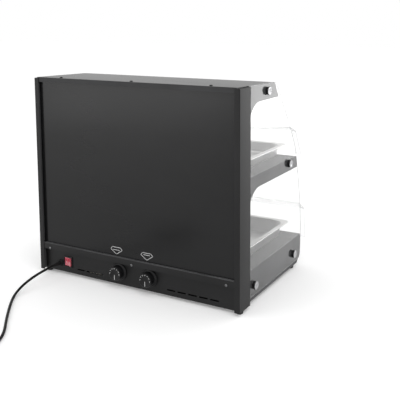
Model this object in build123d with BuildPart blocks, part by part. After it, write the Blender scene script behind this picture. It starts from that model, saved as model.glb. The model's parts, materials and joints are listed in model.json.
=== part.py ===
"""Counter-top heated display case: two warm decks of food pans behind clear flaps.

Own frame: +Z up, the floor at z = 0, X across the case, and -Y towards the side that is
opened to reach the food. The flat back with the switch and the two heat knobs faces +Y.
All sizes are millimetres.
"""
import os
from math import cos, hypot, pi, radians, sin, tan

from build123d import *

os.makedirs("parts", exist_ok=True)

# Overall places
case_width = 600.0            # over the two corner posts
back_y = 212.2                # rear face of the corner posts, from the origin

# Sheet metal
thin_sheet = 1.2
plate_sheet = 1.5
bend_radius = 1.6

# Corner posts: tall channels with the open side inwards
post_foot_z = 9.0
post_height = 517.7
post_depth = 57.0
post_rear_flange = 14.0
post_front_return = 8.0

# Base cabinet
base_bottom_z = 9.8
base_depth = 384.7            # from the posts' rear face to the base front
base_height = 78.8            # from the bottom sheet to the deck
base_chamfer = 16.0
base_return = 14.0

# Middle shelf box
shelf_depth = 354.6
shelf_bottom_z = 282.0
shelf_height = 31.5
shelf_nose_radius = 12.0
shelf_return = 18.0

# Roof: a shallow slope, a rear lip and a fascia that leans inwards to its foot
roof_inset = 2.0              # the rear lip stands this far inside the posts' rear face
roof_above_posts = 2.3        # the roof's rear edge above the posts' tops
roof_fall = 5.5
roof_depth = 202.0
roof_lip_height = 12.3
fascia_reach = 24.1
fascia_drop = 39.0
fascia_return = 14.0

# Side plates and their inner corners
spine_overlap = 1.0           # the plate's spine shows this much in front of the post
arm_fillet = 58.0

# Back
back_recess = 8.5             # back panel's face, from the posts' rear face
back_flange = 14.0
sill_inset = 1.0
sill_height = 16.0
sill_bottom_z = 68.0
control_recess = 12.4
control_bottom_z = 9.0
post_gap = 0.3

# Clear side sheets
glass_sheet = 4.0
glass_bottom_z = 22.0
glass_corner = 15.0
glass_base_overhang = 2.8
glass_foot_setback = 4.0
glass_belly = 14.0

# Clear flaps, as runs of the bent sheet: length and slope below the horizontal
flap_sheet = 4.0
flap_side_gap = 0.5
upper_pane_length = 143.0
upper_pane_angle = 53.0
upper_step_length = 47.9
upper_step_angle = 21.8
upper_lip_length = 77.0
upper_lip_angle = 60.0
lower_neck_length = 19.8
lower_neck_angle = 56.3
lower_pane_length = 85.7
lower_pane_angle = 78.6
lower_step_length = 46.6
lower_step_angle = 35.4
lower_lip_length = 82.5
lower_lip_angle = 83.9
flap_bend_radius = 14.0
neck_bend_radius = 20.0
upper_flap_gap = 1.2          # from a flap's inner face to the side sheets' front edge
lower_flap_gap = 2.9

# Hinges
hinge_side_inset = 120.0      # from the posts' outer faces
hinge_pin_radius = 2.5
pin_fit = 0.03
running_fit = 0.06
clamp_width = 18.0
clamp_wall = 1.5
clamp_side_gap = 0.4
fork_wall = 2.5
fork_base = 2.0
pin_end = 1.0
flap_start = 7.0              # from the hinge axis to the flap's top edge
upper_axis_down = 20.7        # along the fascia from its top corner
upper_axis_out = 8.2          # off the fascia's face
upper_knuckle_radius = 5.0
upper_clamp_reach = 27.0
upper_fork_length = 21.0
upper_fork_above = 15.0       # the fork's foot starts this far above the axis
lower_axis_out = 2.9          # in front of the shelf's front face
lower_axis_down = 7.5         # below the shelf
lower_knuckle_radius = 4.5
lower_clamp_reach = 15.0
lower_fork_length = 16.0
lower_fork_setback = 1.6

# Food pans, two side by side on each deck
pan_depth = 325.0
pan_side_gap = 23.5           # from the outer rims to the side plates
lower_pan_height = 37.0
upper_pan_height = 30.0
pan_sheet = 0.8
pan_rim = 12.0
pan_rim_drop = 2.6
pan_rim_corner = 14.0
pan_well_corner = 28.0
pan_foot_radius = 9.0
pan_taper_angle = 7.0
pan_gap = 4.0
lower_pan_setback = 14.7
upper_pan_setback = 4.6

# Feet
foot_radius = 9.0
foot_waist_radius = 8.0
rear_foot_side_inset = 12.0
rear_foot_inset = 23.6
front_foot_side_inset = 20.0
front_foot_setback = 34.0

# Side sheet nuts and their studs
nut_radius = 10.0
nut_length = 8.0
nut_bevel = 0.6
stud_radius = 2.5
stud_fit = 0.05
stud_head_radius = 5.0
stud_head_length = 2.0
stud_grip = 5.5               # how deep the stud reaches into the nut
stud_plate_play = 0.3
stud_glass_play = 0.8
top_nut_front = 153.5
top_nut_drop = 16.5
shelf_nut_setback = 60.6
shelf_nut_rise = 5.4          # above the middle of the shelf
base_nut_z = 48.6
base_front_nut_setback = 55.6
base_rear_nut_front = 84.7

# Screws of the roof and the sill
roof_head_radius = 4.0
sill_head_radius = 3.2
screw_head_height = 2.2
screw_radius = 1.75
screw_play = 0.15
roof_screw_side_inset = 80.0
roof_screw_front = 14.0
roof_screw_length = 9.0
sill_screw_side_inset = 35.0
sill_screw_z = 71.0

# Heat controls
knob_x = 46.0
knob_z = 43.0
knob_skirt_radius = 23.0
knob_face_radius = 18.0
knob_skirt_height = 4.5
knob_height = 21.5
knob_panel_gap = 0.5
knob_bevel = 1.2
shaft_radius = 3.0
shaft_fit = 0.05
shaft_panel_play = 1.0
shaft_in_knob = 14.0
shaft_in_body = 12.0
thermostat_width = 34.0
thermostat_depth = 28.0
thermostat_collar_radius = 7.0

# Mains switch
switch_side_inset = 86.5
switch_z = 38.0
bezel_width = 31.0
bezel_height = 30.0
bezel_proud = 2.4
bezel_wall = 2.0
bezel_round = 0.8
switch_body_width = 28.0
switch_body_height = 27.0
switch_body_depth = 26.0
switch_cutout_play = 0.2
rocker_play = 0.3
rocker_thickness = 7.0
rocker_tilt_angle = 9.0       # how far the rocker leans to either side of the middle
rocker_proud = 2.0
rocker_pin_radius = 1.5
rocker_pin_length = 1.2
rocker_pin_fit = 0.06

# Vent slots in the control panel
vent_z = 22.8
vent_length = 24.0
vent_height = 3.5
vent_pitch = 30.0
left_vent_from_switch = 102.8
left_vent_count = 3
right_vent_side_inset = 191.7
right_vent_count = 5

# Heating elements under the deck and inside the shelf
heater_radius = 4.0
heater_gap = 1.0              # from the element to the sheet above it
heater_bend = 25.0
heater_rear_gap = 50.0
heater_front_gap = 35.0
heater_leg_gap = 70.0         # from the rear run to the inner legs' rear bend
heater_side_inset = 80.0
heater_inner_x = 80.0
heater_tail_x = 40.0
heater_tail = 30.0
heater_fit = 0.05
clip_length = 12.0
clip_wall = 2.0

# Wiring inside the base
wire_radius = 1.6
wire_bend = 8.0
block_width = 60.0
block_depth = 18.0
block_height = 20.0
block_bevel = 4.0
block_from_switch = 83.5
block_back_gap = 18.0

# Mains lead
cord_radius = 3.25
gland_side_inset = 59.0
gland_z = 31.0
gland_radius = 6.0
gland_flange_radius = 9.0
gland_flange = 3.0
gland_round = 1.0
gland_inside = 9.0
gland_length = 28.4           # from the panel's face to the end of the sleeve
gland_tip_radius = 4.3
gland_straight = 14.8         # the lead runs straight this far past the sleeve

# The coil of the part of the lead that is put away
coil_outer_radius = 42.0
coil_turn_gap = 0.6
coil_half_turns = 4           # in each layer
coil_tail = 6.5               # straight start of the coil
coil_plug_tail = 15.0         # straight end, long enough to clear the loops below

# Plug: a round earthed head with the lead leaving at its side
plug_radius = 18.5
plug_thickness = 22.0
plug_round = 2.4
plug_boot_length = 22.0
plug_boot_radius = 6.0
plug_boot_tip_radius = 4.25
plug_pin_radius = 2.4
plug_pin_length = 19.0
plug_pin_spread = 9.5

# Worked-out places
half_width = case_width / 2
plate_outer_x = half_width - post_front_return
plate_inner_x = plate_outer_x - plate_sheet
pan_width = plate_inner_x - pan_side_gap - pan_gap / 2
hinge_x = half_width - hinge_side_inset
rear_foot_x = half_width - rear_foot_side_inset
front_foot_x = half_width - front_foot_side_inset
roof_screw_x = half_width - roof_screw_side_inset
sill_screw_x = half_width - sill_screw_side_inset
switch_x = half_width - switch_side_inset
left_vent_start = switch_x - left_vent_from_switch
right_vent_start = right_vent_side_inset - half_width
heater_outer_x = half_width - heater_side_inset
block_x = switch_x - block_from_switch
gland_x = half_width - gland_side_inset
post_front_y = back_y - post_depth
post_inner_y = back_y - thin_sheet
base_front_y = back_y - base_depth
base_top_z = base_bottom_z + base_height
shelf_front_y = back_y - shelf_depth
shelf_top_z = shelf_bottom_z + shelf_height
back_face_y = back_y - back_recess
back_inner_y = back_face_y - thin_sheet
sill_top_z = sill_bottom_z + sill_height
control_face_y = back_y - control_recess
control_inner_y = control_face_y - plate_sheet
spine_y = post_front_y - spine_overlap
roof_rear_y = back_y - roof_inset
roof_front_y = roof_rear_y - roof_depth
roof_rear_z = post_foot_z + post_height + roof_above_posts
roof_front_z = roof_rear_z - roof_fall
fascia_foot_y = roof_front_y - fascia_reach
fascia_foot_z = roof_front_z - fascia_drop
ceiling_z = fascia_foot_z + thin_sheet
fascia_length = hypot(fascia_reach, fascia_drop)
fascia_down = (-fascia_reach / fascia_length, -fascia_drop / fascia_length)
fascia_out = (fascia_down[1], -fascia_down[0])
upper_axis = (
    roof_front_y + upper_axis_down * fascia_down[0] + upper_axis_out * fascia_out[0],
    roof_front_z + upper_axis_down * fascia_down[1] + upper_axis_out * fascia_out[1],
)
lower_axis = (shelf_front_y - lower_axis_out, shelf_bottom_z - lower_axis_down)
flap_half_width = plate_outer_x - flap_side_gap


def run_from(start, length, angle_down):
    """Point (y, z) one straight run further to the front and down."""
    angle = radians(angle_down)
    return (start[0] - length * cos(angle), start[1] - length * sin(angle))


def shifted(start, end, distance):
    """The two ends of a straight run, moved square to it, towards its left."""
    dy, dz = end[0] - start[0], end[1] - start[1]
    size = hypot(dy, dz)
    ny, nz = -dz / size * distance, dy / size * distance
    return (start[0] + ny, start[1] + nz), (end[0] + ny, end[1] + nz)


def crossing(run_a, run_b):
    """Point where two straight runs, drawn longer, meet."""
    (ay, az), (by, bz) = run_a
    (cy, cz), (dy, dz) = run_b
    uy, uz, vy, vz = by - ay, bz - az, dy - cy, dz - cz
    along = ((cy - ay) * vz - (cz - az) * vy) / (uy * vz - uz * vy)
    return (ay + along * uy, az + along * uz)


def shifted_bend(before, corner, after, distance):
    """Corner of a bent run after the whole run is moved square to itself."""
    return crossing(shifted(before, corner, distance), shifted(corner, after, distance))


def open_radii(points, most=None):
    """Radii that round a route's corners as far as its runs allow, up to a largest one."""
    radii = []
    for before, corner, after in zip(points, points[1:], points[2:]):
        arriving = Vector(*corner) - Vector(*before)
        leaving = Vector(*after) - Vector(*corner)
        half_turn = radians(arriving.get_angle(leaving)) / 2
        radius = 0.45 * min(arriving.length, leaving.length) / tan(half_turn)
        radii.append(radius if most is None or half_turn < pi / 8 else min(radius, most))
    return radii


# Bent runs of the two flaps, on the middle of their sheet
upper_bend = run_from(upper_axis, upper_pane_length, upper_pane_angle)
upper_brow = run_from(upper_bend, upper_step_length, upper_step_angle)
upper_edge = run_from(upper_brow, upper_lip_length, upper_lip_angle)
lower_neck = run_from(lower_axis, lower_neck_length, lower_neck_angle)
lower_bend = run_from(lower_neck, lower_pane_length, lower_pane_angle)
lower_brow = run_from(lower_bend, lower_step_length, lower_step_angle)
lower_edge = run_from(lower_brow, lower_lip_length, lower_lip_angle)

# Screw and stud places
roof_slope = roof_fall / roof_depth
roof_screw_y = back_y - roof_screw_front
roof_screw_z = roof_rear_z - (roof_rear_y - roof_screw_y) * roof_slope
nut_spots = (
    (back_y - top_nut_front, roof_front_z - top_nut_drop + roof_slope * top_nut_drop),
    (shelf_front_y + shelf_nut_setback, (shelf_bottom_z + shelf_top_z) / 2 + shelf_nut_rise),
    (base_front_y + base_front_nut_setback, base_nut_z),
    (back_y - base_rear_nut_front, base_nut_z),
)
glass_outer_x = plate_outer_x + glass_sheet

# Corner posts
with BuildPart() as right_post:
    with BuildSketch(Plane.XY.offset(post_foot_z)):
        with BuildLine():
            post_path = FilletPolyline(
                (half_width - post_rear_flange, back_y),
                (half_width, back_y),
                (half_width, post_front_y),
                (plate_outer_x, post_front_y),
                radius=bend_radius,
            )
            offset(post_path, amount=thin_sheet, side=Side.RIGHT)
        make_face()
    extrude(amount=post_height)
right_post.part.label = "right_post"
export_step(right_post.part, "parts/right_post.step")

with BuildPart() as left_post:
    mirror(right_post.part, about=Plane.YZ)
left_post.part.label = "left_post"
export_step(left_post.part, "parts/left_post.step")

# Side plates: a spine behind the posts with three arms reaching forwards
roof_under = shifted((roof_rear_y, roof_rear_z), (roof_front_y, roof_front_z), thin_sheet)
fascia_under = shifted(
    (roof_front_y, roof_front_z), (fascia_foot_y, fascia_foot_z), thin_sheet
)
plate_top_front = crossing(roof_under, fascia_under)
plate_top_rear = crossing(roof_under, ((post_inner_y, 0.0), (post_inner_y, roof_rear_z)))
plate_arm_front = crossing(fascia_under, ((0.0, ceiling_z), (post_front_y, ceiling_z)))

with BuildPart() as right_side_plate:
    with BuildSketch(Plane.YZ.offset(plate_inner_x)):
        with BuildLine():
            Line((post_inner_y, base_bottom_z), (base_front_y + base_chamfer, base_bottom_z))
            Line(
                (base_front_y + base_chamfer, base_bottom_z),
                (base_front_y, base_bottom_z + base_chamfer),
            )
            Line((base_front_y, base_bottom_z + base_chamfer), (base_front_y, base_top_z))
            Line((base_front_y, base_top_z), (spine_y, base_top_z))
            FilletPolyline(
                (spine_y, base_top_z),
                (spine_y, shelf_bottom_z),
                (shelf_front_y, shelf_bottom_z),
                (shelf_front_y, shelf_top_z),
                (spine_y, shelf_top_z),
                radius=[arm_fillet, bend_radius, shelf_nose_radius],
            )
            FilletPolyline(
                (spine_y, shelf_top_z),
                (spine_y, ceiling_z),
                plate_arm_front,
                plate_top_front,
                plate_top_rear,
                (post_inner_y, base_bottom_z),
                radius=[arm_fillet, bend_radius, bend_radius, bend_radius],
            )
        make_face()
    extrude(amount=plate_sheet)
    for stud_y, stud_z in nut_spots:
        with BuildSketch(Plane.YZ.offset(plate_inner_x)):
            with Locations((stud_y, stud_z)):
                Circle(stud_radius + stud_plate_play)
        extrude(amount=plate_sheet, mode=Mode.SUBTRACT)
right_side_plate.part.label = "right_side_plate"
export_step(right_side_plate.part, "parts/right_side_plate.step")

with BuildPart() as left_side_plate:
    mirror(right_side_plate.part, about=Plane.YZ)
left_side_plate.part.label = "left_side_plate"
export_step(left_side_plate.part, "parts/left_side_plate.step")

# Clear side sheets: their front edge runs just inside the two closed flaps
upper_shift = -(flap_sheet / 2 + upper_flap_gap)
lower_shift = -(flap_sheet / 2 + lower_flap_gap)
upper_inner_run = shifted(upper_axis, upper_bend, -upper_shift)
lower_inner_run = shifted(lower_neck, lower_bend, -lower_shift)
glass_neck = shifted_bend(lower_axis, lower_neck, lower_bend, -lower_shift)
glass_top_front = crossing(
    upper_inner_run, ((roof_rear_y, roof_rear_z), (roof_front_y, roof_front_z))
)
glass_belly_point = (
    (upper_inner_run[1][0] + glass_neck[0]) / 2 - glass_belly * cos(radians(upper_lip_angle)),
    (upper_inner_run[1][1] + glass_neck[1]) / 2 + glass_belly * sin(radians(upper_lip_angle)),
)
glass_base = (base_front_y - glass_base_overhang, base_top_z)
glass_foot_y = base_front_y + glass_foot_setback

glass_corners = (
    (post_front_y, glass_bottom_z),
    (glass_foot_y, glass_bottom_z),
    glass_base,
    lower_inner_run[1],
    glass_neck,
    glass_belly_point,
    upper_inner_run[1],
    glass_top_front,
    (post_front_y, roof_rear_z - (roof_rear_y - post_front_y) * roof_slope),
)

with BuildPart() as right_side_glass:
    with BuildSketch(Plane.YZ.offset(plate_outer_x)):
        with BuildLine():
            glass_front = FilletPolyline(*glass_corners, radius=open_radii(glass_corners, glass_corner))
            Line(glass_front @ 1, glass_front @ 0)
        make_face()
    extrude(amount=glass_sheet)
    for stud_y, stud_z in nut_spots:
        with BuildSketch(Plane.YZ.offset(plate_outer_x)):
            with Locations((stud_y, stud_z)):
                Circle(stud_radius + stud_glass_play)
        extrude(amount=glass_sheet, mode=Mode.SUBTRACT)
right_side_glass.part.label = "right_side_glass"
export_step(right_side_glass.part, "parts/right_side_glass.step")

with BuildPart() as left_side_glass:
    mirror(right_side_glass.part, about=Plane.YZ)
left_side_glass.part.label = "left_side_glass"
export_step(left_side_glass.part, "parts/left_side_glass.step")

# Nuts that clamp the side sheets, and the studs that they turn on
with BuildPart() as right_side_nuts:
    for stud_y, stud_z in nut_spots:
        with BuildSketch(Plane.YZ.offset(glass_outer_x)):
            with Locations((stud_y, stud_z)):
                Circle(nut_radius)
        extrude(amount=nut_length)
    chamfer(right_side_nuts.edges().filter_by(GeomType.CIRCLE), length=nut_bevel)
    for stud_y, stud_z in nut_spots:
        with BuildSketch(Plane.YZ.offset(glass_outer_x)):
            with Locations((stud_y, stud_z)):
                Circle(stud_radius + stud_fit)
        extrude(amount=stud_grip + stud_fit, mode=Mode.SUBTRACT)
right_side_nuts.part.label = "right_side_nuts"
export_step(right_side_nuts.part, "parts/right_side_nuts.step")

with BuildPart() as left_side_nuts:
    mirror(right_side_nuts.part, about=Plane.YZ)
left_side_nuts.part.label = "left_side_nuts"
export_step(left_side_nuts.part, "parts/left_side_nuts.step")

with BuildPart() as right_side_studs:
    for stud_y, stud_z in nut_spots:
        with BuildSketch(Plane.YZ.offset(plate_inner_x - stud_head_length)):
            with Locations((stud_y, stud_z)):
                Circle(stud_head_radius)
        extrude(amount=stud_head_length)
        with BuildSketch(Plane.YZ.offset(plate_inner_x)):
            with Locations((stud_y, stud_z)):
                Circle(stud_radius)
        extrude(amount=plate_sheet + glass_sheet + stud_grip)
right_side_studs.part.label = "right_side_studs"
export_step(right_side_studs.part, "parts/right_side_studs.step")

with BuildPart() as left_side_studs:
    mirror(right_side_studs.part, about=Plane.YZ)
left_side_studs.part.label = "left_side_studs"
export_step(left_side_studs.part, "parts/left_side_studs.step")

# Roof cover: rear lip, shallow top and leaning fascia in one bent sheet
with BuildPart() as roof_cover:
    with BuildSketch(Plane.YZ):
        with BuildLine():
            roof_path = FilletPolyline(
                (roof_rear_y, roof_rear_z - roof_lip_height),
                (roof_rear_y, roof_rear_z),
                (roof_front_y, roof_front_z),
                (fascia_foot_y, fascia_foot_z),
                (fascia_foot_y + fascia_return, fascia_foot_z),
                radius=bend_radius,
            )
            offset(roof_path, amount=thin_sheet, side=Side.LEFT)
        make_face()
    extrude(amount=plate_outer_x, both=True)
    # the lip and the foot of the fascia are notched to pass between the side plates
    with BuildSketch(Plane.XY.offset(roof_rear_z - roof_lip_height)):
        with Locations((plate_inner_x + plate_sheet, roof_rear_y), (-plate_outer_x, roof_rear_y)):
            Rectangle(2 * plate_sheet, 2 * roof_inset + 2 * thin_sheet)
    extrude(amount=roof_lip_height - thin_sheet, mode=Mode.SUBTRACT)
    with BuildSketch(Plane.XY.offset(fascia_foot_z)):
        with Locations(
            (plate_outer_x, plate_arm_front[0] + fascia_return / 2),
            (-plate_outer_x, plate_arm_front[0] + fascia_return / 2),
        ):
            Rectangle(2 * plate_sheet, fascia_return)
    extrude(amount=thin_sheet, mode=Mode.SUBTRACT)
    with BuildSketch(Plane.XY.offset(roof_front_z)):
        with Locations(
            (-roof_screw_x, roof_screw_y), (0, roof_screw_y), (roof_screw_x, roof_screw_y)
        ):
            Circle(screw_radius + screw_play)
    extrude(amount=roof_fall, mode=Mode.SUBTRACT)
roof_cover.part.label = "roof_cover"
export_step(roof_cover.part, "parts/roof_cover.step")

# Ceiling panel of the upper deck, on the fascia's return
with BuildPart() as ceiling_panel:
    with BuildSketch(Plane.YZ):
        with BuildLine():
            Polyline(
                (plate_arm_front[0] + bend_radius, ceiling_z),
                (back_inner_y, ceiling_z),
                (back_inner_y, ceiling_z + thin_sheet),
                (plate_arm_front[0] + bend_radius, ceiling_z + thin_sheet),
                close=True,
            )
        make_face()
    extrude(amount=plate_inner_x, both=True)
ceiling_panel.part.label = "ceiling_panel"
export_step(ceiling_panel.part, "parts/ceiling_panel.step")

# Back panel, with a top flange under the roof and a flange along each side plate
back_top = crossing(roof_under, ((back_face_y, 0.0), (back_face_y, roof_rear_z)))
back_flange_y = back_face_y - back_flange
back_flange_top = crossing(roof_under, ((back_flange_y, 0.0), (back_flange_y, roof_rear_z)))

with BuildPart() as back_panel:
    with BuildSketch(Plane.YZ):
        with BuildLine():
            back_path = FilletPolyline(
                (back_face_y, sill_top_z),
                back_top,
                back_flange_top,
                radius=bend_radius,
            )
            offset(back_path, amount=thin_sheet, side=Side.LEFT)
        make_face()
    extrude(amount=plate_inner_x, both=True)
    with BuildSketch(Plane.XY.offset(base_top_z)):
        with Locations(
            (plate_inner_x - thin_sheet / 2, back_inner_y - back_flange / 2),
            (thin_sheet / 2 - plate_inner_x, back_inner_y - back_flange / 2),
        ):
            Rectangle(thin_sheet, back_flange)
    extrude(amount=shelf_bottom_z - base_top_z)
    with BuildSketch(Plane.XY.offset(shelf_top_z)):
        with Locations(
            (plate_inner_x - thin_sheet / 2, back_inner_y - back_flange / 2),
            (thin_sheet / 2 - plate_inner_x, back_inner_y - back_flange / 2),
        ):
            Rectangle(thin_sheet, back_flange)
    extrude(amount=ceiling_z - shelf_top_z)
    with BuildSketch(Plane.XY.offset(roof_front_z)):
        with Locations(
            (-roof_screw_x, roof_screw_y), (0, roof_screw_y), (roof_screw_x, roof_screw_y)
        ):
            Circle(screw_radius + stud_fit)
    extrude(amount=roof_fall, mode=Mode.SUBTRACT)
back_panel.part.label = "back_panel"
export_step(back_panel.part, "parts/back_panel.step")

with BuildPart() as roof_screws:
    with BuildSketch(Plane.XY.offset(roof_screw_z - roof_screw_length)):
        with Locations(
            (-roof_screw_x, roof_screw_y), (0, roof_screw_y), (roof_screw_x, roof_screw_y)
        ):
            Circle(screw_radius)
    extrude(amount=roof_screw_length)
    with BuildSketch(Plane.XY.offset(roof_screw_z + roof_head_radius * roof_slope)):
        with Locations(
            (-roof_screw_x, roof_screw_y), (0, roof_screw_y), (roof_screw_x, roof_screw_y)
        ):
            Circle(roof_head_radius)
    extrude(amount=screw_head_height)
    fillet(
        roof_screws.edges().filter_by(GeomType.CIRCLE).group_by(Axis.Z)[-1],
        radius=screw_head_height / 2,
    )
    with BuildSketch(Plane.XY.offset(roof_screw_z)):
        with Locations(
            (-roof_screw_x, roof_screw_y), (0, roof_screw_y), (roof_screw_x, roof_screw_y)
        ):
            Circle(screw_radius)
    extrude(amount=screw_head_height / 2)
roof_screws.part.label = "roof_screws"
export_step(roof_screws.part, "parts/roof_screws.step")

# Rear sill: a lip over the control panel and a ledge under the back panel
with BuildPart() as rear_sill:
    with BuildSketch(Plane.YZ):
        with BuildLine():
            sill_path = FilletPolyline(
                (back_y - sill_inset, sill_bottom_z),
                (back_y - sill_inset, sill_top_z),
                (back_flange_y, sill_top_z),
                radius=bend_radius,
            )
            offset(sill_path, amount=thin_sheet, side=Side.LEFT)
        make_face()
    extrude(amount=plate_inner_x, both=True)
    with BuildSketch(Plane.XY.offset(sill_bottom_z)):
        with Locations(
            (half_width, back_y),
            (-half_width, back_y),
        ):
            Rectangle(2 * (post_rear_flange + post_gap), 2 * (thin_sheet + post_gap))
    extrude(amount=sill_height, mode=Mode.SUBTRACT)
    with BuildSketch(Plane.XZ.offset(-back_y)):
        with Locations(
            (-sill_screw_x, sill_screw_z), (0, sill_screw_z), (sill_screw_x, sill_screw_z)
        ):
            Circle(screw_radius + screw_play)
    extrude(amount=sill_inset + 2 * thin_sheet, mode=Mode.SUBTRACT)
rear_sill.part.label = "rear_sill"
export_step(rear_sill.part, "parts/rear_sill.step")

with BuildPart() as sill_screws:
    with BuildSketch(Plane.XZ.offset(-(back_y - sill_inset))):
        with Locations(
            (-sill_screw_x, sill_screw_z), (0, sill_screw_z), (sill_screw_x, sill_screw_z)
        ):
            Circle(sill_head_radius)
    extrude(amount=-screw_head_height)
    fillet(
        sill_screws.edges().filter_by(GeomType.CIRCLE).group_by(Axis.Y)[-1],
        radius=screw_head_height / 2,
    )
    with BuildSketch(Plane.XZ.offset(-(back_y - sill_inset))):
        with Locations(
            (-sill_screw_x, sill_screw_z), (0, sill_screw_z), (sill_screw_x, sill_screw_z)
        ):
            Circle(screw_radius)
    extrude(amount=control_recess + plate_sheet)
sill_screws.part.label = "sill_screws"
export_step(sill_screws.part, "parts/sill_screws.step")

# Control panel
with BuildPart() as control_panel:
    with BuildSketch(Plane.XZ.offset(-control_face_y)):
        with BuildLine():
            Polyline(
                (-plate_inner_x, control_bottom_z),
                (plate_inner_x, control_bottom_z),
                (plate_inner_x, sill_top_z - thin_sheet),
                (-plate_inner_x, sill_top_z - thin_sheet),
                close=True,
            )
        make_face()
        with Locations((knob_x, knob_z), (-knob_x, knob_z)):
            Circle(shaft_radius + shaft_panel_play, mode=Mode.SUBTRACT)
        with Locations((switch_x, switch_z)):
            Rectangle(
                switch_body_width + 2 * switch_cutout_play,
                switch_body_height + 2 * switch_cutout_play,
                mode=Mode.SUBTRACT,
            )
        with Locations((gland_x, gland_z)):
            Circle(gland_radius + stud_fit, mode=Mode.SUBTRACT)
        with Locations(
            (-sill_screw_x, sill_screw_z), (0, sill_screw_z), (sill_screw_x, sill_screw_z)
        ):
            Circle(screw_radius + stud_fit, mode=Mode.SUBTRACT)
        for slot in range(left_vent_count):
            with Locations((left_vent_start + slot * vent_pitch, vent_z)):
                SlotOverall(vent_length, vent_height, mode=Mode.SUBTRACT)
        for slot in range(right_vent_count):
            with Locations((right_vent_start - slot * vent_pitch, vent_z)):
                SlotOverall(vent_length, vent_height, mode=Mode.SUBTRACT)
    extrude(amount=plate_sheet)
control_panel.part.label = "control_panel"
export_step(control_panel.part, "parts/control_panel.step")

# Base cabinet: deck, chamfered front and bottom
with BuildPart() as base_deck:
    with BuildSketch(Plane.XY.offset(base_top_z - thin_sheet)):
        with BuildLine():
            Polyline(
                (-plate_inner_x, base_front_y + thin_sheet),
                (plate_inner_x, base_front_y + thin_sheet),
                (plate_inner_x, back_inner_y),
                (-plate_inner_x, back_inner_y),
                close=True,
            )
        make_face()
    extrude(amount=thin_sheet)
base_deck.part.label = "base_deck"
export_step(base_deck.part, "parts/base_deck.step")

with BuildPart() as base_front:
    with BuildSketch(Plane.YZ):
        with BuildLine():
            front_path = FilletPolyline(
                (base_front_y, base_top_z),
                (base_front_y, base_bottom_z + base_chamfer),
                (base_front_y + base_chamfer, base_bottom_z),
                (base_front_y + base_chamfer + base_return, base_bottom_z),
                radius=bend_radius,
            )
            offset(front_path, amount=thin_sheet, side=Side.LEFT)
        make_face()
    extrude(amount=plate_inner_x, both=True)
base_front.part.label = "base_front"
export_step(base_front.part, "parts/base_front.step")

with BuildPart() as base_bottom:
    with BuildSketch(Plane.XY.offset(base_bottom_z)):
        with BuildLine():
            Polyline(
                (-plate_inner_x, base_front_y + base_chamfer + base_return),
                (plate_inner_x, base_front_y + base_chamfer + base_return),
                (plate_inner_x, control_inner_y),
                (-plate_inner_x, control_inner_y),
                close=True,
            )
        make_face()
    extrude(amount=thin_sheet)
base_bottom.part.label = "base_bottom"
export_step(base_bottom.part, "parts/base_bottom.step")

# Middle shelf: a bull-nosed top sheet and a flat underside
with BuildPart() as mid_shelf:
    with BuildSketch(Plane.YZ):
        with BuildLine():
            shelf_path = FilletPolyline(
                (back_inner_y, shelf_top_z),
                (shelf_front_y, shelf_top_z),
                (shelf_front_y, shelf_bottom_z),
                (shelf_front_y + shelf_return, shelf_bottom_z),
                radius=[shelf_nose_radius, bend_radius],
            )
            offset(shelf_path, amount=thin_sheet, side=Side.LEFT)
        make_face()
    extrude(amount=plate_inner_x, both=True)
mid_shelf.part.label = "mid_shelf"
export_step(mid_shelf.part, "parts/mid_shelf.step")

with BuildPart() as shelf_underside:
    with BuildSketch(Plane.XY.offset(shelf_bottom_z)):
        with BuildLine():
            Polyline(
                (-plate_inner_x, shelf_front_y + shelf_return),
                (plate_inner_x, shelf_front_y + shelf_return),
                (plate_inner_x, back_inner_y),
                (-plate_inner_x, back_inner_y),
                close=True,
            )
        make_face()
    extrude(amount=thin_sheet)
shelf_underside.part.label = "shelf_underside"
export_step(shelf_underside.part, "parts/shelf_underside.step")


# Heating elements: one bent tube under each deck, hung in clips
def heater_route(front_y, level):
    """Corners of an element from its left tail round four legs to its right tail."""
    rear = back_inner_y - heater_rear_gap
    front = front_y + heater_front_gap
    half = (
        (heater_tail_x, rear + heater_tail),
        (heater_tail_x, rear),
        (heater_outer_x, rear),
        (heater_outer_x, front),
        (heater_inner_x, front),
        (heater_inner_x, rear - heater_leg_gap),
    )
    left = [(-x, y, level) for x, y in half]
    right = [(x, y, level) for x, y in reversed(half)]
    return left + right


def heater_tube(front_y, level):
    with BuildPart() as tube:
        with BuildLine():
            route = FilletPolyline(*heater_route(front_y, level), radius=heater_bend)
        with BuildSketch(Plane(origin=route @ 0, z_dir=route % 0)):
            Circle(heater_radius)
        sweep(path=route)
    return tube.part


def heater_straps(front_y, level, sheet_z):
    """Four saddles that hold an element up against the sheet above it."""
    middle_y = (front_y + back_inner_y) / 2
    with BuildPart() as straps:
        strap_bottom = level - heater_radius - clip_wall
        with BuildSketch(Plane.XY.offset(strap_bottom)):
            with Locations(
                (-heater_outer_x, middle_y),
                (-heater_inner_x, middle_y),
                (heater_inner_x, middle_y),
                (heater_outer_x, middle_y),
            ):
                Rectangle(2 * (heater_radius + clip_wall), clip_length)
        extrude(amount=sheet_z - strap_bottom)
        with BuildSketch(Plane.XZ.offset(-middle_y)):
            with Locations(
                (-heater_outer_x, level),
                (-heater_inner_x, level),
                (heater_inner_x, level),
                (heater_outer_x, level),
            ):
                Circle(heater_radius + heater_fit)
        extrude(amount=clip_length, both=True, mode=Mode.SUBTRACT)
    return straps.part


base_sheet_z = base_top_z - thin_sheet
shelf_sheet_z = shelf_top_z - thin_sheet
base_heater = heater_tube(base_front_y, base_sheet_z - heater_gap - heater_radius)
base_heater.label = "base_heater"
export_step(base_heater, "parts/base_heater.step")

base_heater_clips = heater_straps(
    base_front_y, base_sheet_z - heater_gap - heater_radius, base_sheet_z
)
base_heater_clips.label = "base_heater_clips"
export_step(base_heater_clips, "parts/base_heater_clips.step")

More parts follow.
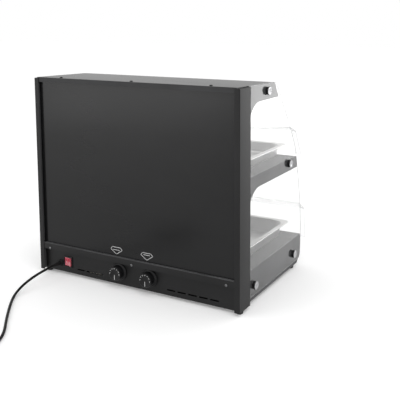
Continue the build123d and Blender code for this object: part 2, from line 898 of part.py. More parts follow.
shelf_heater = heater_tube(shelf_front_y, shelf_sheet_z - heater_gap - heater_radius)
shelf_heater.label = "shelf_heater"
export_step(shelf_heater, "parts/shelf_heater.step")

shelf_heater_clips = heater_straps(
    shelf_front_y, shelf_sheet_z - heater_gap - heater_radius, shelf_sheet_z
)
shelf_heater_clips.label = "shelf_heater_clips"
export_step(shelf_heater_clips, "parts/shelf_heater_clips.step")


# Flaps: one bent clear sheet each
def flap(corners, radii):
    """Flap from the corners on the middle of its sheet."""
    with BuildPart() as pane:
        with BuildSketch(Plane.YZ):
            for side in (Side.LEFT, Side.RIGHT):
                with BuildLine():
                    middle = FilletPolyline(*corners, radius=radii)
                    offset(middle, amount=flap_sheet / 2, side=side)
                make_face()
        extrude(amount=flap_half_width, both=True)
    return pane.part


upper_start = run_from(upper_axis, flap_start, upper_pane_angle)
lower_start = run_from(lower_axis, flap_start, lower_neck_angle)
upper_flap = flap(
    (upper_start, upper_bend, upper_brow, upper_edge),
    flap_bend_radius,
)
upper_flap.label = "upper_flap"
export_step(upper_flap, "parts/upper_flap.step")

lower_flap = flap(
    (lower_start, lower_neck, lower_bend, lower_brow, lower_edge),
    [neck_bend_radius, flap_bend_radius, flap_bend_radius],
)
lower_flap.label = "lower_flap"
export_step(lower_flap, "parts/lower_flap.step")


# Hinges: forks on the case, pins through them, and clamps that grip the flaps
def hinge_clamps(axis, angle_down, knuckle_radius, reach):
    """A pair of knuckles with jaws on both faces of a flap's top edge."""
    angle = radians(angle_down)
    with BuildPart() as clamps:
        for centre_x in (-hinge_x, hinge_x):
            clamp_plane = Plane(
                origin=(centre_x, axis[0], axis[1]),
                x_dir=(0, -cos(angle), -sin(angle)),
                z_dir=(1, 0, 0),
            )
            with BuildSketch(clamp_plane):
                Circle(knuckle_radius)
                with Locations((reach / 2, 0)):
                    Rectangle(reach, flap_sheet + 2 * clamp_wall)
                with Locations(((flap_start + 2 * reach) / 2, 0)):
                    Rectangle(2 * reach - flap_start, flap_sheet, mode=Mode.SUBTRACT)
                Circle(hinge_pin_radius + running_fit, mode=Mode.SUBTRACT)
            extrude(amount=clamp_width / 2, both=True)
    return clamps.part


def hinge_pins(axis):
    """A pair of plain pins, as long as the forks are wide."""
    length = clamp_width / 2 + clamp_side_gap + fork_wall + pin_end
    with BuildPart() as pins:
        for centre_x in (-hinge_x, hinge_x):
            with BuildSketch(Plane.YZ.offset(centre_x)):
                with Locations(axis):
                    Circle(hinge_pin_radius)
            extrude(amount=length, both=True)
    return pins.part


def hinge_forks(axis, knuckle_radius, foot_start, foot_end):
    """A pair of forks: two ears round the pin on a foot plate from start to end."""
    along = Vector(0, foot_end[0] - foot_start[0], foot_end[1] - foot_start[1])
    with BuildPart() as forks:
        for centre_x in (-hinge_x, hinge_x):
            fork_plane = Plane(
                origin=(centre_x, foot_start[0], foot_start[1]), x_dir=along, z_dir=(1, 0, 0)
            )
            pin_spot = fork_plane.to_local_coords(Vector(centre_x, axis[0], axis[1]))
            side = 1 if pin_spot.Y > 0 else -1
            half_fork = clamp_width / 2 + clamp_side_gap + fork_wall
            with BuildSketch(fork_plane):
                with Locations((along.length / 2, side * fork_base / 2)):
                    Rectangle(along.length, fork_base)
            extrude(amount=half_fork, both=True)
            for ear_x in (-half_fork, half_fork - fork_wall):
                with BuildSketch(fork_plane.offset(ear_x)):
                    with Locations((along.length / 2, side * fork_base / 2)):
                        Rectangle(along.length, fork_base)
                    with Locations((pin_spot.X, pin_spot.Y)):
                        Circle(knuckle_radius)
                    make_hull()
                    with Locations((pin_spot.X, pin_spot.Y)):
                        Circle(hinge_pin_radius + pin_fit, mode=Mode.SUBTRACT)
                extrude(amount=fork_wall)
    return forks.part


upper_foot_start = (
    roof_front_y + (upper_axis_down - upper_fork_above) * fascia_down[0],
    roof_front_z + (upper_axis_down - upper_fork_above) * fascia_down[1],
)
upper_foot_end = (
    upper_foot_start[0] + upper_fork_length * fascia_down[0],
    upper_foot_start[1] + upper_fork_length * fascia_down[1],
)
lower_foot_start = (shelf_front_y + lower_fork_setback, shelf_bottom_z)
lower_foot_end = (lower_foot_start[0] + lower_fork_length, shelf_bottom_z)

upper_hinge_clamps = hinge_clamps(
    upper_axis, upper_pane_angle, upper_knuckle_radius, upper_clamp_reach
)
upper_hinge_clamps.label = "upper_hinge_clamps"
export_step(upper_hinge_clamps, "parts/upper_hinge_clamps.step")

upper_hinge_pins = hinge_pins(upper_axis)
upper_hinge_pins.label = "upper_hinge_pins"
export_step(upper_hinge_pins, "parts/upper_hinge_pins.step")

upper_hinge_forks = hinge_forks(
    upper_axis, upper_knuckle_radius, upper_foot_start, upper_foot_end
)
upper_hinge_forks.label = "upper_hinge_forks"
export_step(upper_hinge_forks, "parts/upper_hinge_forks.step")

lower_hinge_clamps = hinge_clamps(
    lower_axis, lower_neck_angle, lower_knuckle_radius, lower_clamp_reach
)
lower_hinge_clamps.label = "lower_hinge_clamps"
export_step(lower_hinge_clamps, "parts/lower_hinge_clamps.step")

lower_hinge_pins = hinge_pins(lower_axis)
lower_hinge_pins.label = "lower_hinge_pins"
export_step(lower_hinge_pins, "parts/lower_hinge_pins.step")

lower_hinge_forks = hinge_forks(
    lower_axis, lower_knuckle_radius, lower_foot_start, lower_foot_end
)
lower_hinge_forks.label = "lower_hinge_forks"
export_step(lower_hinge_forks, "parts/lower_hinge_forks.step")


# Food pans
def food_pan(centre_x, front_y, floor_z, height):
    """A shallow pan with a tapered well and a flat rim whose edge turns down."""
    centre_y = front_y + pan_depth / 2
    rim_z = floor_z + height
    well_width = pan_width - 2 * pan_rim
    well_depth = pan_depth - 2 * pan_rim
    with BuildPart() as well:
        with BuildSketch(Plane.XY.offset(rim_z)):
            with Locations((centre_x, centre_y)):
                RectangleRounded(
                    well_width - 2 * pan_sheet,
                    well_depth - 2 * pan_sheet,
                    pan_well_corner - pan_sheet,
                )
        extrude(amount=pan_sheet - height, taper=pan_taper_angle)
        fillet(well.edges().group_by(Axis.Z)[0], radius=pan_foot_radius - pan_sheet)
    with BuildPart() as pan:
        with BuildSketch(Plane.XY.offset(rim_z)):
            with Locations((centre_x, centre_y)):
                RectangleRounded(well_width, well_depth, pan_well_corner)
        extrude(amount=-height, taper=pan_taper_angle)
        fillet(pan.edges().group_by(Axis.Z)[0], radius=pan_foot_radius)
        with BuildSketch(Plane.XY.offset(rim_z)):
            with Locations((centre_x, centre_y)):
                RectangleRounded(pan_width, pan_depth, pan_rim_corner)
                RectangleRounded(
                    well_width - pan_sheet,
                    well_depth - pan_sheet,
                    pan_well_corner - pan_sheet,
                    mode=Mode.SUBTRACT,
                )
        extrude(amount=-pan_sheet)
        with BuildSketch(Plane.XY.offset(rim_z)):
            with Locations((centre_x, centre_y)):
                RectangleRounded(pan_width, pan_depth, pan_rim_corner)
                RectangleRounded(
                    pan_width - 2 * pan_sheet,
                    pan_depth - 2 * pan_sheet,
                    pan_rim_corner - pan_sheet,
                    mode=Mode.SUBTRACT,
                )
        extrude(amount=-pan_rim_drop)
        add(well.part, mode=Mode.SUBTRACT)
    return pan.part


pan_offset = (pan_width + pan_gap) / 2
for deck, front_y, floor_z, height in (
    ("lower", base_front_y + lower_pan_setback, base_top_z, lower_pan_height),
    ("upper", shelf_front_y + upper_pan_setback, shelf_top_z, upper_pan_height),
):
    for hand, side_sign in (("left", -1), ("right", 1)):
        pan = food_pan(side_sign * pan_offset, front_y, floor_z, height)
        pan.label = f"{deck}_{hand}_pan"
        export_step(pan, f"parts/{deck}_{hand}_pan.step")

# Rubber feet
rear_foot_y = back_y - rear_foot_inset
front_foot_y = base_front_y + front_foot_setback
with BuildPart() as rubber_feet:
    with BuildSketch():
        with Locations(
            (-rear_foot_x, rear_foot_y),
            (rear_foot_x, rear_foot_y),
            (-front_foot_x, front_foot_y),
            (front_foot_x, front_foot_y),
        ):
            Circle(foot_radius)
    extrude(amount=base_bottom_z)
    fillet(
        rubber_feet.edges().filter_by(GeomType.CIRCLE).group_by(Axis.Z)[0],
        radius=foot_radius - foot_waist_radius,
    )
rubber_feet.part.label = "rubber_feet"
export_step(rubber_feet.part, "parts/rubber_feet.step")


# Thermostats: body, turning shaft and knob
knob_base_y = control_face_y + knob_panel_gap
shaft_start_y = control_inner_y - shaft_in_body + knob_panel_gap
shaft_end_y = knob_base_y + shaft_in_knob


def thermostat(centre_x):
    """Body behind the control panel, with a blind socket for the shaft."""
    with BuildPart() as body:
        with BuildSketch(Plane.XZ.offset(-control_inner_y)):
            with Locations((centre_x, knob_z)):
                Circle(thermostat_collar_radius)
        extrude(amount=clip_wall)
        with BuildSketch(Plane.XZ.offset(clip_wall - control_inner_y)):
            with Locations((centre_x, knob_z)):
                Rectangle(thermostat_width, thermostat_width)
        extrude(amount=thermostat_depth)
        with BuildSketch(Plane.XZ.offset(-control_inner_y)):
            with Locations((centre_x, knob_z)):
                Circle(shaft_radius + shaft_fit)
        extrude(amount=shaft_in_body, mode=Mode.SUBTRACT)
    return body.part


def thermostat_shaft(centre_x):
    """Shaft from just above the socket's floor to the end of the knob's bore."""
    with BuildPart() as shaft:
        with BuildSketch(Plane.XZ.offset(-shaft_start_y)):
            with Locations((centre_x, knob_z)):
                Circle(shaft_radius)
        extrude(amount=shaft_start_y - shaft_end_y)
    return shaft.part


def heat_knob(centre_x):
    """Knob with a wide skirt, a narrower grip and a flat face."""
    with BuildPart() as knob:
        with BuildSketch(Plane.XZ.offset(-knob_base_y)):
            with Locations((centre_x, knob_z)):
                Circle(knob_skirt_radius)
        extrude(amount=-knob_skirt_height)
        with BuildSketch(Plane.XZ.offset(-knob_base_y)):
            with Locations((centre_x, knob_z)):
                Circle(knob_face_radius)
        extrude(amount=-knob_height)
        chamfer(
            knob.edges().filter_by(GeomType.CIRCLE).group_by(Axis.Y)[-1], length=knob_bevel
        )
        with BuildSketch(Plane.XZ.offset(-knob_base_y)):
            with Locations((centre_x, knob_z)):
                Circle(shaft_radius + shaft_fit)
        extrude(amount=-(shaft_in_knob + shaft_fit), mode=Mode.SUBTRACT)
    return knob.part


for hand, centre_x in (("left", -knob_x), ("right", knob_x)):
    body = thermostat(centre_x)
    body.label = f"{hand}_thermostat"
    export_step(body, f"parts/{hand}_thermostat.step")
    shaft = thermostat_shaft(centre_x)
    shaft.label = f"{hand}_thermostat_shaft"
    export_step(shaft, f"parts/{hand}_thermostat_shaft.step")
    knob = heat_knob(centre_x)
    knob.label = f"{hand}_knob"
    export_step(knob, f"parts/{hand}_knob.step")

# Mains switch: a bezel with a hollow body, and a rocker on two short pins
bezel_face_y = control_face_y + bezel_proud
switch_bore_width = switch_body_width - 2 * bezel_wall
switch_bore_height = switch_body_height - 2 * bezel_wall
pivot_y = control_face_y - rocker_thickness / 2
rocker_half = switch_bore_width / 2 - rocker_play
rocker_height = switch_bore_height - 2 * rocker_play

with BuildPart() as switch_housing:
    with BuildSketch(Plane.XZ.offset(-control_face_y)):
        with Locations((switch_x, switch_z)):
            Rectangle(bezel_width, bezel_height)
    extrude(amount=-bezel_proud)
    fillet(switch_housing.faces().sort_by(Axis.Y)[-1].edges(), radius=bezel_round)
    with BuildSketch(Plane.XZ.offset(-control_face_y)):
        with Locations((switch_x, switch_z)):
            Rectangle(switch_body_width, switch_body_height)
    extrude(amount=switch_body_depth)
    with BuildSketch(Plane.XZ.offset(-bezel_face_y)):
        with Locations((switch_x, switch_z)):
            Rectangle(switch_bore_width, switch_bore_height)
    extrude(amount=bezel_proud + switch_body_depth - bezel_wall, mode=Mode.SUBTRACT)
    with BuildSketch(Plane.XY.offset(switch_z)):
        with Locations((switch_x, pivot_y)):
            Circle(rocker_pin_radius + rocker_pin_fit)
    extrude(amount=switch_bore_height / 2 + rocker_pin_length, both=True, mode=Mode.SUBTRACT)
switch_housing.part.label = "switch_housing"
export_step(switch_housing.part, "parts/switch_housing.step")

# the rocker rests leaning: one half stands proud of the bezel and the other is sunk
lean = radians(rocker_tilt_angle)
crest = rocker_thickness / 2 + rocker_proud
wing = (rocker_half - crest * sin(lean)) / cos(lean)
with BuildPart() as switch_rocker:
    rocker_plane = Plane(
        origin=(switch_x, pivot_y, switch_z - rocker_height / 2),
        x_dir=(cos(lean), -sin(lean), 0),
        z_dir=(0, 0, 1),
    )
    with BuildSketch(rocker_plane):
        with BuildLine():
            Polyline(
                (-wing, crest),
                (0, crest - wing * tan(lean)),
                (wing, crest),
                (wing - rocker_play, -rocker_thickness / 4),
                (0, -rocker_thickness),
                (rocker_play - wing, -rocker_thickness / 4),
                close=True,
            )
        make_face()
    extrude(amount=rocker_height)
    with BuildSketch(Plane.XY.offset(switch_z)):
        with Locations((switch_x, pivot_y)):
            Circle(rocker_pin_radius)
    extrude(amount=switch_bore_height / 2 + rocker_pin_length - rocker_play, both=True)
switch_rocker.part.label = "switch_rocker"
export_step(switch_rocker.part, "parts/switch_rocker.step")

# Terminal block on the bottom sheet, and the wires of the base
block_z = base_bottom_z + thin_sheet
block_y = control_inner_y - block_back_gap - block_depth / 2
with BuildPart() as terminal_block:
    with BuildSketch(Plane.XY.offset(block_z)):
        with Locations((block_x, block_y)):
            Rectangle(block_width, block_depth)
    extrude(amount=block_height)
    chamfer(
        terminal_block.faces().sort_by(Axis.Z)[-1].edges().filter_by(Axis.X),
        length=block_bevel,
    )
terminal_block.part.label = "terminal_block"
export_step(terminal_block.part, "parts/terminal_block.step")

wire_z = block_z + block_height / 2
wire_run_y = block_y - block_depth
thermostat_back_y = control_inner_y - clip_wall - thermostat_depth
switch_back_y = control_face_y - switch_body_depth
gland_back_y = control_inner_y - gland_inside
wire_routes = (
    # mains lead's inner end to the block
    (
        (gland_x, gland_back_y, gland_z),
        (gland_x, block_y, gland_z),
        (block_x + block_width / 2, block_y, gland_z),
    ),
    # block to the switch
    (
        (block_x + block_width / 4, block_y - block_depth / 2, wire_z),
        (block_x + block_width / 4, wire_run_y, wire_z),
        (switch_x, wire_run_y, switch_z),
        (switch_x, switch_back_y, switch_z),
    ),
    # block to the right thermostat
    (
        (block_x - block_width / 4, block_y - block_depth / 2, wire_z),
        (block_x - block_width / 4, wire_run_y, wire_z),
        (knob_x, wire_run_y, knob_z),
        (knob_x, thermostat_back_y, knob_z),
    ),
    # right thermostat to the left one
    (
        (knob_x - wire_bend, thermostat_back_y, knob_z + wire_bend),
        (knob_x - wire_bend, wire_run_y - wire_bend, knob_z + wire_bend),
        (-knob_x, wire_run_y - wire_bend, knob_z + wire_bend),
        (-knob_x, thermostat_back_y, knob_z + wire_bend),
    ),
)
with BuildPart() as wire_harness:
    for route_points in wire_routes:
        with BuildLine():
            wire_path = FilletPolyline(*route_points, radius=wire_bend)
        with BuildSketch(Plane(origin=wire_path @ 0, z_dir=wire_path % 0)):
            Circle(wire_radius)
        sweep(path=wire_path)
wire_harness.part.label = "wire_harness"
export_step(wire_harness.part, "parts/wire_harness.step")

# Strain relief: a flanged bush in the panel with a tapered sleeve round the lead
gland_end_y = control_face_y + gland_length
with BuildPart() as strain_relief:
    with BuildSketch(Plane.XZ.offset(-control_face_y)):
        with Locations((gland_x, gland_z)):
            Circle(gland_flange_radius)
    extrude(amount=-gland_flange)
    fillet(
        strain_relief.edges().filter_by(GeomType.CIRCLE).group_by(Axis.Y)[-1],
        radius=gland_round,
    )
    with BuildSketch(Plane.XZ.offset(-control_face_y)):
        with Locations((gland_x, gland_z)):
            Circle(gland_radius)
    extrude(amount=plate_sheet + gland_inside)
    with BuildSketch(Plane.XZ.offset(-(control_face_y + gland_flange))):
        with Locations((gland_x, gland_z)):
            Circle(gland_radius)
    with BuildSketch(Plane.XZ.offset(-gland_end_y)):
        with Locations((gland_x, gland_z)):
            Circle(gland_tip_radius)
    loft()
strain_relief.part.label = "strain_relief"
export_step(strain_relief.part, "parts/strain_relief.step")

# Mains lead: the free stretch lies on the floor and sweeps out to one side
floor_level = cord_radius
cord_points = (
    (gland_x, gland_end_y, gland_z),
    (gland_x, gland_end_y + gland_straight, gland_z),
    (gland_x, 258.0, 30.3),
    (gland_x + 0.8, 273.0, 28.9),
    (gland_x + 2.2, 289.0, 26.6),
    (gland_x + 4.0, 306.0, 22.8),
    (gland_x + 5.6, 323.0, 18.0),
    (gland_x + 6.0, 340.0, 12.7),
    (gland_x + 3.2, 357.0, 7.9),
    (gland_x - 3.0, 374.0, 4.6),
    (gland_x - 14.0, 392.5, floor_level),
    (gland_x - 30.0, 414.5, floor_level),
    (gland_x - 51.5, 442.0, floor_level),
    (gland_x - 74.0, 469.5, floor_level),
    (gland_x - 97.0, 496.5, floor_level),
    (gland_x - 119.5, 522.0, floor_level),
    (gland_x - 136.0, 546.0, floor_level),
    (gland_x - 148.0, 570.0, floor_level),
    (gland_x - 155.5, 594.0, floor_level),
    (gland_x - 158.0, 618.0, floor_level),
)
cord_radii = open_radii(cord_points)
with BuildPart() as cord:
    with BuildLine():
        cord_path = FilletPolyline(*cord_points, radius=cord_radii)
    with BuildSketch(Plane(origin=cord_path @ 0, z_dir=cord_path % 0)):
        Circle(cord_radius)
    sweep(path=cord_path)
cord.part.label = "cord"
export_step(cord.part, "parts/cord.step")
cord_area = pi * cord_radius**2
print("cord radii", [round(radius) for radius in cord_radii])
print("cord volume over section and length", cord.part.volume / cord_area / cord_path.length)

# The coil spirals in on the floor, climbs one layer and spirals out again on top
coil_pitch = 2 * cord_radius + coil_turn_gap
coil_start = Vector(*cord_points[-1])
coil_heading = (coil_start - Vector(*cord_points[-2])).normalized()
layer_radii = [coil_outer_radius - turn * coil_pitch / 2 for turn in range(coil_half_turns)]


def half_turn(start, heading, radius):
    """Half a turn to the right on one level."""
    across = Vector(heading.Y, -heading.X, 0)
    return TangentArc(start, start + across * 2 * radius, tangent=heading)


with BuildPart() as cord_coil:
    with BuildLine() as coil_path:
        reach = coil_start + coil_heading * coil_tail
        Line(coil_start, reach)
        heading = coil_heading
        for radius in layer_radii:
            turn = half_turn(reach, heading, radius)
            reach, heading = turn @ 1, -heading
        across = Vector(heading.Y, -heading.X, 0)
        climb_end = (
            reach + across * (2 * layer_radii[-1] - coil_pitch) + Vector(0, 0, coil_pitch)
        )
        span = climb_end - reach
        climb_middle = (reach + climb_end) / 2 + heading * (span.length / 2)
        TangentArc(reach, climb_middle, tangent=heading)
        TangentArc(climb_middle, climb_end, tangent=span.normalized())
        reach, heading = climb_end, -heading
        for radius in reversed(layer_radii):
            turn = half_turn(reach, heading, radius)
            reach, heading = turn @ 1, -heading
        coil_end = reach + heading * coil_plug_tail
        Line(reach, coil_end)
    coil_wire = coil_path.wires()[0]
    with BuildSketch(Plane(origin=coil_start, z_dir=coil_heading)):
        Circle(cord_radius)
    sweep(path=coil_wire)
cord_coil.part.label = "cord_coil"
export_step(cord_coil.part, "parts/cord_coil.step")

coil_length = coil_wire.length
samples = round(coil_length)
spots = [coil_wire @ (step / samples) for step in range(samples + 1)]
apart = int(samples * 4 * cord_radius / coil_length) + 1
least_gap = min(
    (a - b).length for i, a in enumerate(spots) for b in spots[i + apart:]
) - 2 * cord_radius
print("coil volume over section and length", cord_coil.part.volume / cord_area / coil_length)
print("coil least gap to itself", round(least_gap, 3))
print("lead length", round(gland_length + cord_path.length + coil_length))

# Plug: the lead enters the head's side, and the head lies on its back, pins up
plug_axis = coil_end + heading * plug_boot_length
head_centre = plug_axis + heading * (plug_radius - cord_radius)
pin_a = head_centre + Vector(-heading.Y, heading.X, 0) * plug_pin_spread
pin_b = head_centre - Vector(-heading.Y, heading.X, 0) * plug_pin_spread
with BuildPart() as plug:
    with BuildSketch(Plane.XY):
        with Locations((head_centre.X, head_centre.Y)):
            Circle(plug_radius)
    extrude(amount=plug_thickness)
    fillet(plug.edges().filter_by(GeomType.CIRCLE), radius=plug_round)
    with BuildSketch(Plane(origin=coil_end, z_dir=heading)):
        Circle(plug_boot_tip_radius)
    with BuildSketch(Plane(origin=plug_axis, z_dir=heading)):
        Circle(plug_boot_radius)
    loft()
    with BuildSketch(Plane(origin=plug_axis, z_dir=heading)):
        Circle(plug_boot_radius)
    extrude(amount=plug_radius / 2)
    with BuildSketch(Plane.XY.offset(plug_thickness)):
        with Locations(
            (pin_a.X, pin_a.Y),
            (pin_b.X, pin_b.Y),
        ):
            Circle(plug_pin_radius)
    extrude(amount=plug_pin_length)
plug.part.label = "plug"
export_step(plug.part, "parts/plug.step")
print("coil end", coil_end, "plug head", head_centre)
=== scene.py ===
"""Looks of a counter-top heated display case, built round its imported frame.

Metres throughout, in the frame's own axes: +Z up, the controls face +Y and the flaps -Y.
"""
import json
from math import cos, pi, radians, sin, tan

import bmesh
import bpy
from mathutils import Matrix, Vector


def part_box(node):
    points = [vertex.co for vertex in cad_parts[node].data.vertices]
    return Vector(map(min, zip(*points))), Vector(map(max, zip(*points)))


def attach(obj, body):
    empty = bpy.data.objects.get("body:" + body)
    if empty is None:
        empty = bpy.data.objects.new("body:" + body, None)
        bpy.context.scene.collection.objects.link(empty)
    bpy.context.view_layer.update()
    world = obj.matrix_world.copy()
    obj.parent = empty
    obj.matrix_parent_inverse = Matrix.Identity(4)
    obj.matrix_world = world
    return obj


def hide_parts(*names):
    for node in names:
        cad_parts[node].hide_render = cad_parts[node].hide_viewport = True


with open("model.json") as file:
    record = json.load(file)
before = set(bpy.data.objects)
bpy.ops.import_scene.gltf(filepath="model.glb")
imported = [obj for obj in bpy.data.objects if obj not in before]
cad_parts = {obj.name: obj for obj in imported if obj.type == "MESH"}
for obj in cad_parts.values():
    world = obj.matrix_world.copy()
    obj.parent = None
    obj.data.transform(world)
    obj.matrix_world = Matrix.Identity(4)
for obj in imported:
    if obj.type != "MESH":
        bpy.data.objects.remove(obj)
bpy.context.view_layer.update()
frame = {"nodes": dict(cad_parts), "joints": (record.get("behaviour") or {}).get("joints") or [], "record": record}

bl_info = {
    "name": "Heated display case",
    "version": (1, 0, 0),
    "blender": (4, 5, 0),
    "location": "View3D > Sidebar > Display case",
    "description": "Dresses a heated display case: coated sheet, clear flaps, pans and controls",
    "category": "Add Mesh",
}

BODY_OF = {
    node: body
    for body, nodes in frame["record"]["behaviour"]["bodies"].items()
    for node in nodes
}
JOINTS = {joint["name"]: joint for joint in frame["joints"]}

UP = Vector((0, 0, 1))
RIGHT = Vector((1, 0, 0))
REARWARD = Vector((0, 1, 0))
# Turns what is written in X and Y so that it reads upright from behind the case
READ_FROM_BEHIND = Matrix(((-1, 0, 0), (0, 0, 1), (0, 1, 0))).to_4x4()

# Part of the noise's span that tints and roughness follow
NOISE_SPAN = (0.3, 0.7)
TINT_SPAN = (0.35, 0.65)
# Height of the grain that the finishes raise
GRAIN_HEIGHT = 0.0002
# Angle over which two faces meet in a sharp edge
CREASE = radians(35)
# Printed signs: how thick the ink is, and how far its middle lies over the surface
INK = 0.00008
INK_LIFT = 0.00004
# Rounding of small turned pieces
FINE_EDGE = 0.0002

# The mains lead's route from the sleeve's end, as in the part's source
LEAD_POINTS = (
    (0.241, 0.2282, 0.031),
    (0.241, 0.243, 0.031),
    (0.241, 0.258, 0.0303),
    (0.2418, 0.273, 0.0289),
    (0.2432, 0.289, 0.0266),
    (0.245, 0.306, 0.0228),
    (0.2466, 0.323, 0.018),
    (0.247, 0.34, 0.0127),
    (0.2442, 0.357, 0.0079),
    (0.238, 0.374, 0.0046),
    (0.227, 0.3925, 0.00325),
    (0.211, 0.4145, 0.00325),
    (0.1895, 0.442, 0.00325),
    (0.167, 0.4695, 0.00325),
    (0.144, 0.4965, 0.00325),
    (0.1215, 0.522, 0.00325),
    (0.105, 0.546, 0.00325),
    (0.093, 0.57, 0.00325),
    (0.0855, 0.594, 0.00325),
    (0.083, 0.618, 0.00325),
)


# Settings
class CaseLeadSettings(bpy.types.PropertyGroup):
    """Sizes of the mains lead, its coil and its plug."""

    diameter: bpy.props.FloatProperty(
        name="Lead diameter", description="Outside of the lead", default=0.0065, unit="LENGTH"
    )
    length: bpy.props.FloatProperty(
        name="Lead length", description="From the sleeve to the plug", default=1.475, unit="LENGTH"
    )
    coil_radius: bpy.props.FloatProperty(
        name="Coil radius", description="Middle of the widest half turn", default=0.042,
        unit="LENGTH",
    )
    turn_gap: bpy.props.FloatProperty(
        name="Turn gap", description="Air between neighbouring turns", default=0.0006,
        unit="LENGTH",
    )
    half_turns: bpy.props.IntProperty(
        name="Half turns", description="Half turns in each layer of the coil", default=4
    )
    turn_steps: bpy.props.IntProperty(
        name="Points in a half turn", description="Points that draw half a turn", default=10
    )


class CaseFinishSettings(bpy.types.PropertyGroup):
    """Colours and edges of the case."""

    coat: bpy.props.FloatVectorProperty(
        name="Powder coat", description="Colour of the coated sheet", subtype="COLOR",
        default=(0.008, 0.008, 0.0083),
    )
    back: bpy.props.FloatVectorProperty(
        name="Back panel", description="Colour of the smooth back panel", subtype="COLOR",
        default=(0.007, 0.007, 0.0073),
    )
    clear: bpy.props.FloatVectorProperty(
        name="Clear sheet", description="Tint of the flaps and side sheets", subtype="COLOR",
        default=(0.989, 0.991, 0.991),
    )
    steel: bpy.props.FloatVectorProperty(
        name="Stainless steel", description="Colour of the food pans", subtype="COLOR",
        default=(0.5, 0.495, 0.485),
    )
    rocker: bpy.props.FloatVectorProperty(
        name="Rocker", description="Colour of the mains switch", subtype="COLOR",
        default=(0.46, 0.06, 0.09),
    )
    print_white: bpy.props.FloatVectorProperty(
        name="Print", description="Colour of the dial numbers and pictograms", subtype="COLOR",
        default=(0.55, 0.55, 0.55),
    )
    sheet_edge: bpy.props.FloatProperty(
        name="Sheet edge", description="Rounding of the coated sheet's cut edges",
        default=0.0004, unit="LENGTH",
    )
    clear_edge: bpy.props.FloatProperty(
        name="Clear edge", description="Polished rounding of the clear sheets' edges",
        default=0.0006, unit="LENGTH",
    )


class CaseStageSettings(bpy.types.PropertyGroup):
    """Camera, floor and light."""

    camera_place: bpy.props.FloatVectorProperty(
        name="Camera place", description="Where the camera stands", subtype="TRANSLATION",
        default=(-0.96324, 1.55428, 0.69052),
    )
    camera_yaw: bpy.props.FloatProperty(
        name="Camera yaw", description="Heading, clockwise from +Y", default=2.6240,
        subtype="ANGLE",
    )
    camera_pitch: bpy.props.FloatProperty(
        name="Camera pitch", description="Tilt above the horizon", default=-0.1249,
        subtype="ANGLE",
    )
    camera_roll: bpy.props.FloatProperty(
        name="Camera roll", description="Turn about the line of sight", default=-0.0054,
        subtype="ANGLE",
    )
    camera_lens: bpy.props.FloatProperty(
        name="Lens", description="Focal length on a 36 mm sensor", default=61.818
    )
    camera_shift: bpy.props.FloatProperty(
        name="Shift", description="How far the frame lies below the line of sight",
        default=-0.25,
    )
    floor_size: bpy.props.FloatProperty(
        name="Floor", description="Side of the square floor", default=24.0, unit="LENGTH"
    )
    sky_light: bpy.props.FloatProperty(
        name="Surroundings", description="Strength of the light from all round", default=0.95
    )
    key_power: bpy.props.FloatProperty(
        name="Key light", description="Power of the large overhead light", default=14.0,
        unit="POWER",
    )
    fill_power: bpy.props.FloatProperty(
        name="Fill light", description="Power of the light that the back panel mirrors",
        default=12.5, unit="POWER",
    )
    rim_power: bpy.props.FloatProperty(
        name="Rim light", description="Power of the light that the side sheets mirror",
        default=11.0, unit="POWER",
    )


# Node tools
def empty_material(name):
    """New material; gives it, its nodes, its links and its Principled shader."""
    material = bpy.data.materials.new(name + "_finish")
    material.use_nodes = True
    tree = material.node_tree
    return material, tree.nodes, tree.links, tree.nodes["Principled BSDF"]


def spotted(nodes, links, scale, detail=4.0, stretch=(1, 1, 1)):
    """Noise on the piece's own coordinates, stretched along an axis where asked."""
    place = nodes.new("ShaderNodeTexCoord")
    mapping = nodes.new("ShaderNodeMapping")
    mapping.inputs["Scale"].default_value = stretch
    noise = nodes.new("ShaderNodeTexNoise")
    noise.inputs["Scale"].default_value = scale
    noise.inputs["Detail"].default_value = detail
    links.new(place.outputs["Object"], mapping.inputs["Vector"])
    links.new(mapping.outputs["Vector"], noise.inputs["Vector"])
    return noise.outputs["Fac"]


def roughened(nodes, links, value, shader, low, high):
    """Lets the roughness drift between two numbers with the noise."""
    spread = nodes.new("ShaderNodeMapRange")
    spread.inputs["From Min"].default_value = NOISE_SPAN[0]
    spread.inputs["From Max"].default_value = NOISE_SPAN[1]
    spread.inputs["To Min"].default_value = low
    spread.inputs["To Max"].default_value = high
    links.new(value, spread.inputs["Value"])
    links.new(spread.outputs["Result"], shader.inputs["Roughness"])


def tinted(nodes, links, value, shader, dark, light):
    """Lets the colour drift between two close colours with the noise."""
    ramp = nodes.new("ShaderNodeValToRGB")
    for stop, place, colour in zip(ramp.color_ramp.elements, TINT_SPAN, (dark, light)):
        stop.position = place
        stop.color = (*colour, 1)
    links.new(value, ramp.inputs["Fac"])
    links.new(ramp.outputs["Color"], shader.inputs["Base Color"])


def bumped(nodes, links, value, shader, strength):
    """Raises the surface by the noise."""
    bump = nodes.new("ShaderNodeBump")
    bump.inputs["Strength"].default_value = strength
    bump.inputs["Distance"].default_value = GRAIN_HEIGHT
    links.new(value, bump.inputs["Height"])
    links.new(bump.outputs["Normal"], shader.inputs["Normal"])


def scaled(colour, factor):
    """Colour made lighter or darker."""
    return tuple(min(1.0, channel * factor) for channel in colour)


# Finishes
def coated(name, colour, shine, roughness=(0.4, 0.52)):
    """Fine-grained satin powder coat."""
    material, nodes, links, shader = empty_material(name)
    grain = spotted(nodes, links, 1400.0, 3.0)
    drift = spotted(nodes, links, 9.0, 2.0)
    tinted(nodes, links, drift, shader, scaled(colour, 0.85), scaled(colour, 1.2))
    roughened(nodes, links, grain, shader, *roughness)
    shader.inputs["Specular IOR Level"].default_value = shine
    bumped(nodes, links, grain, shader, 0.15)
    return material


